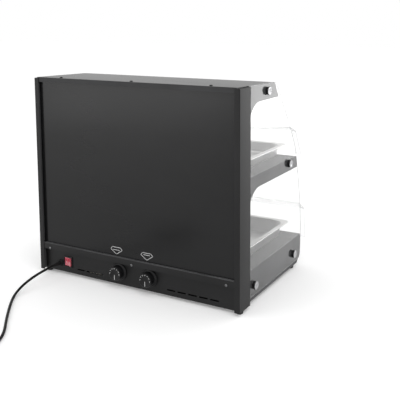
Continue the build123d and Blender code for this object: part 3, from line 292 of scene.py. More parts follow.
def worn_ledge(name, look):
    """Black powder coat made six to eleven times lighter on the ledge's top, a painted highlight of the light that
    it catches.
    """
    material, nodes, links, shader = empty_material(name)
    highlight_drift = spotted(nodes, links, 40.0, 4.0, (0.3, 1, 1))
    tinted(nodes, links, highlight_drift, shader, scaled(look.coat, 6), scaled(look.coat, 11))
    roughened(nodes, links, highlight_drift, shader, 0.35, 0.5)
    return material


def gloss_black(name, look):
    """Smooth enamel of the back panel, with faint wiping marks in its gloss."""
    material, nodes, links, shader = empty_material(name)
    smear = spotted(nodes, links, 5.0, 5.0, (1, 1, 3))
    grain = spotted(nodes, links, 900.0, 2.0)
    tinted(nodes, links, smear, shader, look.back, scaled(look.back, 1.12))
    roughened(nodes, links, smear, shader, 0.2, 0.26)
    shader.inputs["Specular IOR Level"].default_value = 0.22
    bumped(nodes, links, grain, shader, 0.05)
    return material


def arithmetic(nodes, links, operation, value, other):
    """Result of a sum on two values, the second of which may be a plain number."""
    sum_node = nodes.new("ShaderNodeMath")
    sum_node.operation = operation
    sum_node.use_clamp = True
    links.new(value, sum_node.inputs[0])
    if isinstance(other, float):
        sum_node.inputs[1].default_value = other
    else:
        links.new(other, sum_node.inputs[1])
    return sum_node.outputs[0]


def clear_sheet(name, colour, roughness, bending, clearness=1.0, straight=0.0):
    """Clear cast sheet with a faint haze, which lets the light of lamps through."""
    material, nodes, links, shader = empty_material(name)
    haze = spotted(nodes, links, 14.0, 6.0)
    tinted(nodes, links, haze, shader, scaled(colour, 0.996), colour)
    roughened(nodes, links, haze, shader, *roughness)
    shader.inputs["Transmission Weight"].default_value = clearness
    shader.inputs["IOR"].default_value = bending
    path = nodes.new("ShaderNodeLightPath").outputs
    lighting = arithmetic(nodes, links, "MAXIMUM", path["Is Shadow Ray"], path["Is Diffuse Ray"])
    share = arithmetic(nodes, links, "MAXIMUM", lighting, straight)
    open_way = nodes.new("ShaderNodeBsdfTransparent")
    open_way.inputs["Color"].default_value = (*scaled(colour, 0.95), 1)
    mix = nodes.new("ShaderNodeMixShader")
    links.new(share, mix.inputs[0])
    links.new(shader.outputs[0], mix.inputs[1])
    links.new(open_way.outputs[0], mix.inputs[2])
    links.new(mix.outputs[0], nodes["Material Output"].inputs["Surface"])
    return material


def brushed(name, colour, along, roughness):
    """Brushed metal, with its fine lines along one axis."""
    material, nodes, links, shader = empty_material(name)
    lines = spotted(nodes, links, 70.0, 6.0, along)
    blotch = spotted(nodes, links, 12.0, 2.0)
    tinted(nodes, links, blotch, shader, scaled(colour, 0.93), scaled(colour, 1.04))
    roughened(nodes, links, lines, shader, *roughness)
    bumped(nodes, links, lines, shader, 0.003)
    shader.inputs["Metallic"].default_value = 1.0
    return material


def moulded(name, colour, roughness, grain_scale=700.0, lift=0.15, shine=0.5):
    """Moulded plastic or rubber with a fine grain."""
    material, nodes, links, shader = empty_material(name)
    grain = spotted(nodes, links, grain_scale, 4.0)
    drift = spotted(nodes, links, 30.0, 2.0)
    tinted(nodes, links, drift, shader, scaled(colour, 0.88), scaled(colour, 1.12))
    roughened(nodes, links, grain, shader, *roughness)
    shader.inputs["Specular IOR Level"].default_value = shine
    bumped(nodes, links, grain, shader, lift)
    return material


def red_rocker(name, look):
    """Clear red moulding with a wet gloss."""
    material, nodes, links, shader = empty_material(name)
    drift = spotted(nodes, links, 120.0, 3.0)
    tinted(nodes, links, drift, shader, scaled(look.rocker, 0.85), scaled(look.rocker, 1.15))
    roughened(nodes, links, drift, shader, 0.16, 0.24)
    for socket, value in (
        ("Coat Weight", 1.0), ("Coat Roughness", 0.06),
        ("Subsurface Weight", 0.1), ("Subsurface Scale", 0.002),
    ):
        shader.inputs[socket].default_value = value
    return material


def white_print(name, look):
    """Pad-printed white, a little uneven."""
    material, nodes, links, shader = empty_material(name)
    cover = spotted(nodes, links, 500.0, 3.0)
    tinted(nodes, links, cover, shader, scaled(look.print_white, 0.85), look.print_white)
    roughened(nodes, links, cover, shader, 0.4, 0.6)
    return material


# Each finish by name, made from that name and the colours in the settings
FINISHES = {
    # Most coated sheets, the warm decks, the side frames, the roof and its rear lip
    "powder_black": lambda name, look: coated(name, look.coat, shine=0.22),
    "deck_coat": lambda name, look: coated(name, look.coat, shine=0.0, roughness=(0.5, 0.62)),
    # Side frames: the black coat made nine times lighter, painted reflection of the clear sheet in front
    "frame_coat": lambda name, look: coated(name, scaled(look.coat, 9), shine=0.22),
    "roof_coat": lambda name, look: coated(name, look.coat, shine=0.8, roughness=(0.32, 0.42)),
    # Roof's rear lip: the black coat made 3.5 times lighter, painted highlight
    "lip_coat": lambda name, look: coated(name, scaled(look.coat, 3.5), shine=0.15),
    # Sill's top ledge: a lighter copy of the black coat, painted highlight
    "worn_ledge": worn_ledge,
    "gloss_black": gloss_black,
    # Faces and sawn edges of the side sheets, then of the thinner flaps
    "clear_acrylic": lambda name, look: clear_sheet(name, look.clear, (0.0, 0.02), bending=1.6),
    "cut_edge": lambda name, look: clear_sheet(
        name, scaled(look.clear, 0.45), (0.2, 0.34), bending=1.49, clearness=0.25
    ),
    "flap_acrylic": lambda name, look: clear_sheet(
        name, look.clear, (0.0, 0.02), bending=1.2, straight=0.5
    ),
    "flap_edge": lambda name, look: clear_sheet(
        name, scaled(look.clear, 0.8), (0.15, 0.25), bending=1.2, clearness=0.6, straight=0.6
    ),
    # Pans, bright caps and clamps, dull plated fixings, heating tubes browned by heat
    "stainless": lambda name, look: brushed(name, look.steel, (1, 20, 20), (0.34, 0.42)),
    "bright_chrome": lambda name, look: brushed(name, (0.4, 0.4, 0.41), (1, 1, 1), (0.1, 0.2)),
    "zinc_steel": lambda name, look: brushed(name, (0.2, 0.2, 0.205), (1, 1, 6), (0.25, 0.4)),
    "element_steel": lambda name, look: brushed(
        name, (0.2, 0.17, 0.15), (1, 1, 1), (0.35, 0.55)
    ),
    # Knobs and bezel, terminal block, lead and feet, sleeving of the inner wires
    "black_plastic": lambda name, look: moulded(
        name, (0.006, 0.006, 0.0065), (0.32, 0.45), shine=0.2
    ),
    "white_moulding": lambda name, look: moulded(name, (0.62, 0.6, 0.54), (0.4, 0.55)),
    "black_rubber": lambda name, look: moulded(
        name, (0.006, 0.006, 0.006), (0.45, 0.6), 1100.0, 0.25, 0.22
    ),
    "wire_sleeve": lambda name, look: moulded(name, (0.32, 0.1, 0.04), (0.45, 0.6)),
    "red_rocker": red_rocker,
    "white_print": white_print,
}
MADE = {}


def finish(name):
    """The material for that finish, made on first use."""
    if name not in MADE:
        MADE[name] = FINISHES[name](name, bpy.context.scene.case_finish)
    return MADE[name]


# Shape tools
def centre_of(node):
    """Middle of a CAD node's box."""
    low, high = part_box(node)
    return (low + high) / 2


def to_object(bm, name, crease=CREASE):
    """Turns a bmesh into an object with smooth faces and sharp corners."""
    mesh = bpy.data.meshes.new(name)
    bm.to_mesh(mesh)
    bm.free()
    mesh.shade_smooth()
    mesh.set_sharp_from_angle(angle=crease)
    piece = bpy.data.objects.new(name, mesh)
    bpy.context.scene.collection.objects.link(piece)
    return piece


def round_edges(piece, width=FINE_EDGE, segments=2):
    """Small roundings on a piece's sharp edges."""
    bevel = piece.modifiers.new("Rounded edges", "BEVEL")
    bevel.width = width
    bevel.segments = segments
    bevel.limit_method = "ANGLE"
    bevel.angle_limit = CREASE
    bevel.harden_normals = True
    bevel.use_clamp_overlap = True
    return piece


def dress(piece, finish_name, body, stands_for=()):
    """Gives a piece its finish, its body and the CAD nodes that it stands for."""
    piece.data.materials.clear()
    piece.data.materials.append(finish(finish_name))
    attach(piece, body)
    if stands_for:
        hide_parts(*stands_for)
    return piece


def from_solid(node):
    """Merged copy of a CAD node's faces, as a bmesh of flat and bent surfaces."""
    bm = bmesh.new()
    bm.from_mesh(frame["nodes"][node].data)
    for layers in (bm.loops.layers.float_vector, bm.loops.layers.uv):
        for layer in list(layers.values()):
            layers.remove(layer)
    bmesh.ops.remove_doubles(bm, verts=bm.verts, dist=1e-6)
    bmesh.ops.dissolve_limit(
        bm, angle_limit=radians(0.4), verts=bm.verts, edges=bm.edges, use_dissolve_boundaries=False
    )
    return bm


def softened(node, finish_name, width, segments=2):
    """A CAD node's own shape with rounded edges, standing for the node."""
    name = node + "_dressed"
    piece = to_object(from_solid(node), name)
    round_edges(piece, width, segments)
    return dress(piece, finish_name, BODY_OF[node], (node,))


def recoat(piece, finish_name, is_its_face):
    """Gives the faces that pass a test a second finish."""
    piece.data.materials.append(finish(finish_name))
    for face in piece.data.polygons:
        if is_its_face(face):
            face.material_index = len(piece.data.materials) - 1


def turned(bm, profile, steps=48):
    """Spins a profile of (radius, height) points about Z and closes it on the axis."""
    verts = [bm.verts.new((radius, 0, height)) for radius, height in profile]
    edges = [bm.edges.new(pair) for pair in zip(verts, verts[1:])]
    bmesh.ops.spin(
        bm, geom=verts + edges, cent=(0, 0, 0), axis=UP, dvec=(0, 0, 0),
        angle=2 * pi, steps=steps, use_merge=True, use_duplicate=False,
    )
    bmesh.ops.remove_doubles(bm, verts=bm.verts, dist=1e-7)
    bmesh.ops.recalc_face_normals(bm, faces=bm.faces)


def facing(direction, place, upright=UP):
    """Matrix that puts a shape made round Z at a place, its Z along a direction."""
    forward = Vector(direction).normalized()
    across = Vector(upright).cross(forward)
    if across.length < 1e-6:
        across = RIGHT.copy()
    across.normalize()
    lift = forward.cross(across)
    return Matrix.Translation(place) @ Matrix((across, lift, forward)).transposed().to_4x4()


def turned_mesh(profile, direction, place, steps=48):
    """Mesh of a profile turned about a line through a place."""
    bm = bmesh.new()
    turned(bm, profile, steps)
    bm.transform(facing(direction, place))
    mesh = bpy.data.meshes.new("turned")
    bm.to_mesh(mesh)
    bm.free()
    return mesh


def turned_piece(name, profile, direction, places, steps=48):
    """One object with the same turned shape at each place."""
    bm = bmesh.new()
    for place in places:
        mesh = turned_mesh(profile, direction, place, steps)
        bm.from_mesh(mesh)
        bpy.data.meshes.remove(mesh)
    bmesh.ops.recalc_face_normals(bm, faces=bm.faces)
    return to_object(bm, name)


def rounded_ring(bm, centre, half_x, half_y, corner, height, steps=8):
    """Closed loop of edges round a rounded rectangle, level with the floor."""
    verts = []
    for side_x, side_y, start in ((1, 1, 0), (-1, 1, 90), (-1, -1, 180), (1, -1, 270)):
        for step in range(steps + 1):
            angle = radians(start + 90 * step / steps)
            verts.append(bm.verts.new((
                centre[0] + side_x * (half_x - corner) + corner * cos(angle),
                centre[1] + side_y * (half_y - corner) + corner * sin(angle),
                height,
            )))
    return [bm.edges.new(pair) for pair in zip(verts, verts[1:] + verts[:1])]


def lofted(bm, centre, rings, steps=8):
    """Bridges rounded rectangles, given as (half x, half y, corner, height), in order."""
    loops = [rounded_ring(bm, centre, *ring, steps) for ring in rings]
    for first, second in zip(loops, loops[1:]):
        bmesh.ops.bridge_loops(bm, edges=first + second)
    return loops


def thickened(bm, corners, lift):
    """Flat face through the corners, drawn out along a vector into a closed solid."""
    flat = bm.faces.new([bm.verts.new(corner) for corner in corners])
    grown = bmesh.ops.extrude_face_region(bm, geom=[flat])
    lifted = [item for item in grown["geom"] if isinstance(item, bmesh.types.BMVert)]
    bmesh.ops.translate(bm, vec=lift, verts=lifted)


def cut_away(piece, cutter):
    """Takes one closed shape out of another and keeps only the first."""
    boolean = piece.modifiers.new("Cut", "BOOLEAN")
    boolean.operation = "DIFFERENCE"
    boolean.object = cutter
    bpy.context.view_layer.update()
    graph = bpy.context.evaluated_depsgraph_get()
    cut = bpy.data.meshes.new_from_object(piece.evaluated_get(graph))
    piece.modifiers.remove(boolean)
    piece.data = cut
    bpy.data.objects.remove(cutter)
    return piece


def lettering(name, text, size, matrix):
    """Flat printed characters as a mesh, put in place by a matrix."""
    curve = bpy.data.curves.new(name + "_outline", "FONT")
    curve.body = text
    curve.size = size
    curve.align_x = "CENTER"
    curve.align_y = "CENTER"
    curve.extrude = INK / 2
    writing = bpy.data.objects.new(name + "_outline", curve)
    bpy.context.scene.collection.objects.link(writing)
    bpy.context.view_layer.update()
    graph = bpy.context.evaluated_depsgraph_get()
    mesh = bpy.data.meshes.new_from_object(writing.evaluated_get(graph))
    bpy.data.objects.remove(writing)
    mesh.transform(matrix)
    return mesh


def joined(name, meshes):
    """One object from several meshes."""
    bm = bmesh.new()
    for mesh in meshes:
        bm.from_mesh(mesh)
        bpy.data.meshes.remove(mesh)
    bmesh.ops.remove_doubles(bm, verts=bm.verts, dist=1e-7)
    return to_object(bm, name)


# Mains lead
def coil_points(lead):
    """Points of the coil: in on the floor, up one layer and out again on top."""
    start = Vector(LEAD_POINTS[-1])
    heading = (start - Vector(LEAD_POINTS[-2])).normalized()
    pitch = lead.diameter + lead.turn_gap
    radii = [lead.coil_radius - turn * pitch / 2 for turn in range(lead.half_turns)]
    climb = radii[-1] - pitch / 2
    reach = start + heading * lead.diameter
    points = [reach.copy()]
    step_angle = pi / lead.turn_steps
    for radius, rise in [(r, 0) for r in radii] + [(climb, pitch)] + [(r, 0) for r in radii[::-1]]:
        across = Vector((heading.y, -heading.x, 0))
        hub = reach + across * radius
        outside = radius / cos(step_angle / 2)
        for step in range(lead.turn_steps):
            angle = (step + 0.5) * step_angle
            spot = hub - across * outside * cos(angle) + heading * outside * sin(angle)
            points.append(spot + UP * rise * (step + 0.5) / lead.turn_steps)
        reach = hub + across * radius + UP * rise
        heading = -heading
    points.append(reach.copy())
    return points, reach, heading


class CASE_OT_lead(bpy.types.Operator):
    """Lays the mains lead, its put-away coil, its sleeve and its plug"""

    bl_idname = "case.lead"
    bl_label = "Mains lead"

    # Straight run from the coil to the plug's boot
    TAIL = 0.015

    def execute(self, context):
        lead = context.scene.case_lead
        turns, reach, heading = coil_points(lead)
        plug_start = reach + heading * self.TAIL
        route = [Vector(p) for p in LEAD_POINTS] + turns + [plug_start]

        curve = bpy.data.curves.new("mains_lead", "CURVE")
        curve.dimensions = "3D"
        curve.bevel_depth = lead.diameter / 2
        curve.bevel_resolution = 4
        curve.resolution_u = 6
        curve.use_fill_caps = True
        spline = curve.splines.new("NURBS")
        spline.points.add(len(route) - 1)
        for point, place in zip(spline.points, route):
            point.co = (*place, 1)
        spline.order_u = 3
        spline.use_endpoint_u = True
        cable = bpy.data.objects.new("mains_lead", curve)
        context.scene.collection.objects.link(cable)
        dress(cable, "black_rubber", "case", ("cord", "cord_coil"))

        sleeve = self.sleeve()
        plug, pins = self.plug(lead, plug_start, heading)
        return {"FINISHED"}

    def sleeve(self):
        """Flanged bush in the panel, with a ribbed sleeve that tapers along the lead."""
        low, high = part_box("strain_relief")
        centre = (low + high) / 2
        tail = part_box("control_panel")[1].y - low.y
        total = high.y - low.y
        bore, root, tip = 0.0033, 0.006, 0.0043
        flange, flange_top, flange_edge = 0.009, tail + 0.003, 0.0008
        ribs, groove = 6, 0.0009
        ribbed_from, ribbed_to = tail + 0.006, total - 0.004
        pitch = (ribbed_to - ribbed_from) / ribs
        profile = [(bore, 0), (root, 0), (root, tail), (flange - 0.0006, tail)]
        profile += [(flange, tail + flange_edge), (flange, flange_top - flange_edge)]
        profile += [(flange - flange_edge, flange_top), (root + 0.0002, flange_top)]
        for rib in range(ribs):
            along = ribbed_from + (ribbed_to - ribbed_from) * rib / ribs
            wide = root + (tip - root) * (along - tail) / (total - tail)
            profile += [(wide, along), (wide, along + 0.55 * pitch)]
            profile += [(wide - groove, along + share * pitch) for share in (0.65, 0.9)]
        profile += [(tip, ribbed_to), (tip, total - 0.0005), (tip - 0.0005, total), (bore, total)]
        sleeve = turned_piece(
            "lead_sleeve", profile, REARWARD, [Vector((centre.x, low.y, centre.z))]
        )
        round_edges(sleeve)
        return dress(sleeve, "black_rubber", "case", ("strain_relief",))

    def plug(self, lead, start, heading):
        """Round earthed plug on its back, with a ribbed boot and two pins."""
        radius, thick = 0.0185, 0.022
        groove, sunk = 0.0008, 0.0012
        boot_length, narrow, wide = 0.03, 0.00425, 0.006
        pin_radius, pin_length, pin_space = 0.0024, 0.019, 0.019
        head = start + heading * (0.022 + radius - lead.diameter / 2)
        profile = [(0, 0), (radius - 0.003, 0), (radius - groove, 0.001), (radius, 0.003)]
        for height in (0.007, 0.0125):
            profile += [
                (radius, height), (radius - groove, height + 0.0005),
                (radius - groove, height + 0.0015), (radius, height + 0.002),
            ]
        profile += [
            (radius, thick - 0.0015), (radius - 0.0012, thick), (radius - 0.0035, thick),
            (radius - 0.004, thick - sunk), (0, thick - sunk),
        ]
        outline = [(0, 0), (narrow, 0)]
        for rib in range(4):
            along = 0.003 + rib * 0.0045
            grown = narrow + (wide - narrow) * along / boot_length
            outline += [(grown, along), (grown, along + 0.0022)]
            outline += [(grown - groove, along + 0.0026), (grown - groove, along + 0.0042)]
        outline += [(wide, 0.022), (wide, boot_length), (0, boot_length)]
        meshes = [
            turned_mesh(profile, UP, Vector((head.x, head.y, 0)), 56),
            turned_mesh(outline, heading, start, 32),
        ]
        plug = joined("mains_plug", meshes)
        round_edges(plug, 0.0003)
        dress(plug, "black_rubber", "case", ("plug",))

        side = Vector((-heading.y, heading.x, 0)) * pin_space / 2
        pin = [
            (0, 0), (pin_radius, 0), (pin_radius, pin_length - 0.0025),
            (pin_radius - 0.0004, pin_length - 0.0009),
            (pin_radius / 2, pin_length - 0.0002), (0, pin_length),
        ]
        foot = Vector((head.x, head.y, thick - sunk))
        pins = turned_piece("plug_pins", pin, UP, [foot + side, foot - side], 24)
        dress(pins, "bright_chrome", "case")
        return plug, pins


# Coated sheet
class CASE_OT_sheet_metal(bpy.types.Operator):
    """Dresses the coated sheets: posts, side plates, roof, back, sill, base and shelf"""

    bl_idname = "case.sheet_metal"
    bl_label = "Coated sheets"

    SHEETS = (
        "left_post", "right_post", "left_side_plate", "right_side_plate", "roof_cover",
        "ceiling_panel", "rear_sill", "control_panel", "base_front", "base_deck",
        "base_bottom", "mid_shelf", "shelf_underside",
    )
    COATS = {
        "base_front": "deck_coat", "base_deck": "deck_coat", "mid_shelf": "deck_coat",
        "roof_cover": "roof_coat",
        # The side plates take the lighter coat, painted reflection
        "left_side_plate": "frame_coat", "right_side_plate": "frame_coat",
    }

    def execute(self, context):
        look = context.scene.case_finish
        for node in self.SHEETS:
            coat = self.COATS.get(node, "powder_black")
            sheet = softened(node, coat, look.sheet_edge)
            if node == "rear_sill":
                # The ledge's upward faces get the painted highlight
                recoat(sheet, "worn_ledge", lambda face: face.normal.z > 0.6)
            if node == "roof_cover":
                # The lip's rearward faces get the painted highlight
                recoat(sheet, "lip_coat", lambda face: face.normal.y > 0.6)
        softened("back_panel", "gloss_black", look.sheet_edge)
        return {"FINISHED"}


class CASE_OT_clear_sheets(bpy.types.Operator):
    """Dresses the clear side sheets and the two clear flaps"""

    bl_idname = "case.clear_sheets"
    bl_label = "Clear sheets and flaps"

    def execute(self, context):
        look = context.scene.case_finish
        for node in ("left_side_glass", "right_side_glass"):
            sheet = softened(node, "clear_acrylic", look.clear_edge, 3)
            recoat(sheet, "cut_edge", lambda face: abs(face.normal.x) < 0.5)
        for node in ("upper_flap", "lower_flap"):
            flap = softened(node, "flap_acrylic", look.clear_edge, 3)
            recoat(flap, "flap_edge", lambda face: abs(face.normal.x) > 0.5)
        return {"FINISHED"}


class CASE_OT_hinges(bpy.types.Operator):
    """Dresses the flaps' hinges"""

    bl_idname = "case.hinges"
    bl_label = "Hinges"

    def execute(self, context):
        for deck in ("upper", "lower"):
            softened(f"{deck}_hinge_forks", "zinc_steel", 0.0003)
            softened(f"{deck}_hinge_clamps", "bright_chrome", 0.0004)
            softened(f"{deck}_hinge_pins", "zinc_steel", 0.0004)
        return {"FINISHED"}


# Fixings
def spots_of(node, lengthwise):
    """Middles of the separate round solids in a node, seen along one axis."""
    bm = from_solid(node)
    bm.verts.ensure_lookup_table()
    left = set(bm.verts)
    spots = []
    while left:
        island = {left.pop()}
        edge_of_island = set(island)
        while edge_of_island:
            near = {e.other_vert(v) for v in edge_of_island for e in v.link_edges}
            edge_of_island = near & left
            left -= edge_of_island
            island |= edge_of_island
        low = Vector([min(v.co[i] for v in island) for i in range(3)])
        high = Vector([max(v.co[i] for v in island) for i in range(3)])
        spots.append((low, high))
    bm.free()
    return sorted(spots, key=lambda spot: spot[0][lengthwise])


class CASE_OT_side_nuts(bpy.types.Operator):
    """Turns the round nuts with bright caps that hold the side sheets; their walls are coloured black, a painted
    reflection of dark surroundings in chrome
    """

    bl_idname = "case.side_nuts"
    bl_label = "Side nuts"

    BORE = 0.003
    CAP = 0.0012
    GROOVE = 0.0004

    def execute(self, context):
        for hand, outward in (("left", -1), ("right", 1)):
            node = f"{hand}_side_nuts"
            spots = spots_of(node, 1)
            places = []
            for low, high in spots:
                inner = high.x if outward < 0 else low.x
                places.append(Vector((inner, (low.y + high.y) / 2, (low.z + high.z) / 2)))
            radius = (spots[0][1].z - spots[0][0].z) / 2
            length = spots[0][1].x - spots[0][0].x
            cap_foot = length - self.CAP
            waist = radius - self.GROOVE
            ring = [
                (self.BORE, 0), (radius - 0.0006, 0), (radius, 0.0006),
                (radius, 0.0022), (waist, 0.0027), (waist, 0.0034), (radius, 0.0039),
                (radius, cap_foot), (self.BORE, cap_foot),
            ]
            cap = [
                (0, cap_foot), (radius - 0.0001, cap_foot), (radius - 0.0001, cap_foot + 0.0003),
                (radius - 0.0009, length), (0.0052, length), (0.0046, length - self.GROOVE),
                (0, length - self.GROOVE),
            ]
            outside = (outward, 0, 0)
            for name, profile, coat, stands_for in (
                # Walls in black plastic: painted reflection of the dark surroundings that the chrome walls mirror
                (f"{hand}_nut_walls", ring, "black_plastic", ()),
                (f"{hand}_nut_caps", cap, "bright_chrome", (node,)),
            ):
                piece = turned_piece(name, profile, outside, places, 56)
                round_edges(piece, 0.00015)
                dress(piece, coat, "case", stands_for)
        return {"FINISHED"}


def cross_head(radius, height):
    """Domed screw head with a cross recess, made round Z on the floor of its seat."""
    skirt = 0.35 * height
    rise = [(radius, 0), (radius, skirt)]
    for step in range(1, 6):
        angle = radians(90 * step / 6)
        rise.append((radius * cos(angle) ** 0.7, skirt + (height - skirt) * sin(angle)))
    bm = bmesh.new()
    turned(bm, [(0, 0)] + rise + [(0, height)], 40)
    head = to_object(bm, "screw_head")
    long_arm, short_arm, depth = 0.58 * radius, 0.16 * radius, 0.75 * height
    for half_x, half_y in ((long_arm, short_arm), (short_arm, long_arm)):
        arm = bmesh.new()
        made = bmesh.ops.create_cube(arm, size=2)
        bmesh.ops.scale(arm, vec=(half_x, half_y, depth), verts=made["verts"])
        bmesh.ops.translate(arm, vec=(0, 0, 1.1 * height), verts=made["verts"])
        cut_away(head, to_object(arm, "screw_arm"))
    mesh = head.data.copy()
    bpy.data.objects.remove(head)
    return mesh


class CASE_OT_screws(bpy.types.Operator):
    """Sets the cross-head screws of the roof and of the sill"""

    bl_idname = "case.screws"
    bl_label = "Screws"

    HEAD_HEIGHT = 0.0022

    def execute(self, context):
        for node, direction, coat in (
            ("roof_screws", UP, "powder_black"), ("sill_screws", REARWARD, "zinc_steel")
        ):
            meshes = []
            for low, high in spots_of(node, 0):
                centre = (low + high) / 2
                if direction is UP:
                    seat = Vector((centre.x, centre.y, high.z - self.HEAD_HEIGHT))
                else:
                    seat = Vector((centre.x, high.y - self.HEAD_HEIGHT, centre.z))
                mesh = cross_head((high.x - low.x) / 2, self.HEAD_HEIGHT)
                mesh.transform(facing(direction, seat))
                meshes.append(mesh)
            screws = joined(node + "_dressed", meshes)
            dress(screws, coat, "case", (node,))
        return {"FINISHED"}


class CASE_OT_feet(bpy.types.Operator):
    """Turns the rubber feet"""

    bl_idname = "case.feet"
    bl_label = "Rubber feet"

    def execute(self, context):
        places = [
            Vector(((low.x + high.x) / 2, (low.y + high.y) / 2, 0))
            for low, high in spots_of("rubber_feet", 0)
        ]
        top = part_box("rubber_feet")[1].z
        radius, groove = 0.009, 0.0004
        dimple, dimple_depth = 0.0035, 0.0006
        profile = [
            (0, dimple_depth), (dimple, dimple_depth), (dimple + 0.0007, 0),
            (radius - 0.0016, 0), (radius - 0.0006, 0.0008), (radius, 0.0024),
            (radius, top - 0.0048), (radius - groove, top - 0.0041),
            (radius - groove, top - 0.0035), (radius, top - 0.0028), (radius, top), (0, top),
        ]
        feet = turned_piece("case_feet", profile, UP, places, 40)
        round_edges(feet)
        dress(feet, "black_rubber", "case", ("rubber_feet",))
        return {"FINISHED"}


# Controls
DIAL_NUMBERS = ("30", "40", "50", "60", "70", "80", "90")


class CASE_OT_knobs(bpy.types.Operator):
    """Turns the two heat knobs, with their numbers and pointers"""

    bl_idname = "case.knobs"
    bl_label = "Heat knobs"

    SUNK = 0.0003

    def execute(self, context):
        for hand in ("left", "right"):
            node = f"{hand}_knob"
            low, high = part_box(node)
            centre = (low + high) / 2
            base = Vector((centre.x, low.y, centre.z))
            height = high.y - low.y
            self.body(node, base, height)
            self.dial(node, Vector((centre.x, high.y, centre.z)))
        return {"FINISHED"}

    def body(self, node, base, height):
        """Skirt, drum and slightly sunk face."""
        bore, skirt, drum = 0.0031, 0.023, 0.018
        skirt_top, drum_foot = 0.0036, 0.0066
        profile = [
            (bore, 0), (skirt - 0.001, 0), (skirt, 0.0008), (skirt, 0.0022),
            (skirt - 0.0012, skirt_top), (drum + 0.0016, skirt_top + 0.0007),
            (drum + 0.0003, drum_foot - 0.0014), (drum, drum_foot),
            (drum, height - 0.0014), (drum - 0.0005, height - 0.0004),
            (drum - 0.0014, height), (drum - 0.0019, height - self.SUNK),
            (0, height - self.SUNK),
        ]
        knob = turned_piece(node + "_dressed", profile, REARWARD, [base], 72)
        round_edges(knob)
        dress(knob, "black_plastic", BODY_OF[node], (node,))

    def dial(self, node, face):
        """Numbers from nine o'clock over the top to three o'clock, and the pointer below."""
        place = Matrix.Translation(face - REARWARD * (self.SUNK - INK_LIFT)) @ READ_FROM_BEHIND
        ring, letter_size, step = 0.0138, 0.0036, radians(30)
        pointer_wide, pointer_from, pointer_to = 0.0013, 0.00245, 0.01495
        prints = []
        for count, number in enumerate(DIAL_NUMBERS):
            turn = Matrix.Rotation(pi / 2 - step * count, 4, "Z")
            out = Matrix.Translation((0, ring, 0))
            prints.append(lettering(f"{node}_{number}", number, letter_size, place @ turn @ out))
        bm = bmesh.new()
        made = bmesh.ops.create_cube(bm, size=1)
        bmesh.ops.scale(
            bm, vec=(pointer_wide, pointer_to - pointer_from, INK), verts=made["verts"]
        )
        bmesh.ops.translate(bm, vec=(0, -(pointer_from + pointer_to) / 2, 0), verts=made["verts"])
        bm.transform(place)
        pointer = bpy.data.meshes.new(node + "_pointer")
        bm.to_mesh(pointer)
        bm.free()
        dial = joined(node + "_dial", prints + [pointer])
        dress(dial, "white_print", BODY_OF[node])


class CASE_OT_switch(bpy.types.Operator):
    """Makes the mains switch: a bezel and a red rocker marked I and O"""

    bl_idname = "case.switch"
    bl_label = "Mains switch"

    def execute(self, context):
        self.bezel()
        self.rocker()
        return {"FINISHED"}

    def bezel(self):
        """Frame with softened corners, and the walls of its well."""
        low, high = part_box("switch_housing")
        centre = (low + high) / 2
        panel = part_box("control_panel")[1].y
        proud = high.y - panel
        half_x, half_z = (high.x - low.x) / 2, (high.z - low.z) / 2
        bore_x, bore_z, bore_corner, bore_floor = 0.012, 0.0115, 0.0006, -0.0175
        wall, tail = 0.002, -0.0195
        soft = 0.0006
        rings = [
            (bore_x, bore_z, bore_corner, bore_floor), (bore_x, bore_z, bore_corner, proud - soft),
            (bore_x + soft, bore_z + soft, 0.001, proud),
            (half_x - 2 * soft, half_z - 2 * soft, 0.0016, proud),
            (half_x - soft / 2, half_z - soft / 2, 0.0022, proud - soft),
            (half_x, half_z, 0.0024, proud - 0.0016), (half_x, half_z, 0.0024, 0),
            (bore_x + wall, bore_z + wall, 0.001, 0), (bore_x + wall, bore_z + wall, 0.001, tail),
        ]
        bm = bmesh.new()
        loops = lofted(bm, (0, 0), rings, 5)
        bmesh.ops.edgeloop_fill(bm, edges=loops[0])
        bmesh.ops.edgeloop_fill(bm, edges=loops[-1])
        bmesh.ops.recalc_face_normals(bm, faces=bm.faces)
        bm.transform(facing(REARWARD, Vector((centre.x, panel, centre.z))))
        bezel = to_object(bm, "switch_bezel")
        dress(bezel, "black_plastic", "case", ("switch_housing",))

    def rocker(self):
        """Paddle with two slopes that meet in a shallow valley over the pivot."""
        joint = JOINTS["power_rocker"]
        lean = radians(joint["range_deg"][1]) / 2
        half_width, half_height, crest = 0.0117, 0.0112, 0.0055
        shoulder, keel, mark_size = -0.00175, -0.007, 0.005
        wing = (half_width - crest * sin(lean)) / cos(lean)
        drop = wing * tan(lean)
        slope = [
            (wing * 0.5, crest - drop * 0.52), (wing - 0.0004, crest - 0.0001),
            (wing, crest - 0.0006), (wing - 0.0003, shoulder),
        ]
        mirrored = [(-x, y) for x, y in reversed(slope)]
        outline = mirrored[1:] + [(0, crest - drop)] + slope + [(0, keel), mirrored[0]]
        bm = bmesh.new()
        thickened(bm, [(x, y, -half_height) for x, y in outline], UP * 2 * half_height)
        bmesh.ops.recalc_face_normals(bm, faces=bm.faces)
        tilt = Matrix((
            (cos(lean), sin(lean), 0), (-sin(lean), cos(lean), 0), (0, 0, 1),
        )).to_4x4()
        seat = Matrix.Translation(joint["pos_m"]) @ tilt
        bm.transform(seat)
        rocker = to_object(bm, "switch_paddle")
        round_edges(rocker, 0.0005, 3)
        dress(rocker, "red_rocker", "rocker", ("switch_rocker",))

        marks = []
        for sign, text in ((-1, "I"), (1, "O")):
            along = Vector((cos(lean), sign * sin(lean), 0))
            outward = Vector((-sign * sin(lean), cos(lean), 0))
            spot = Vector((sign * wing * 0.55, crest - drop * 0.47, 0)) + outward * INK_LIFT
            turn = Matrix((-along, UP, outward)).transposed().to_4x4()
            marks.append(lettering(
                "mark_" + text, text, mark_size, seat @ Matrix.Translation(spot) @ turn
            ))
        prints = joined("switch_marks", marks)
        dress(prints, "white_print", "rocker")


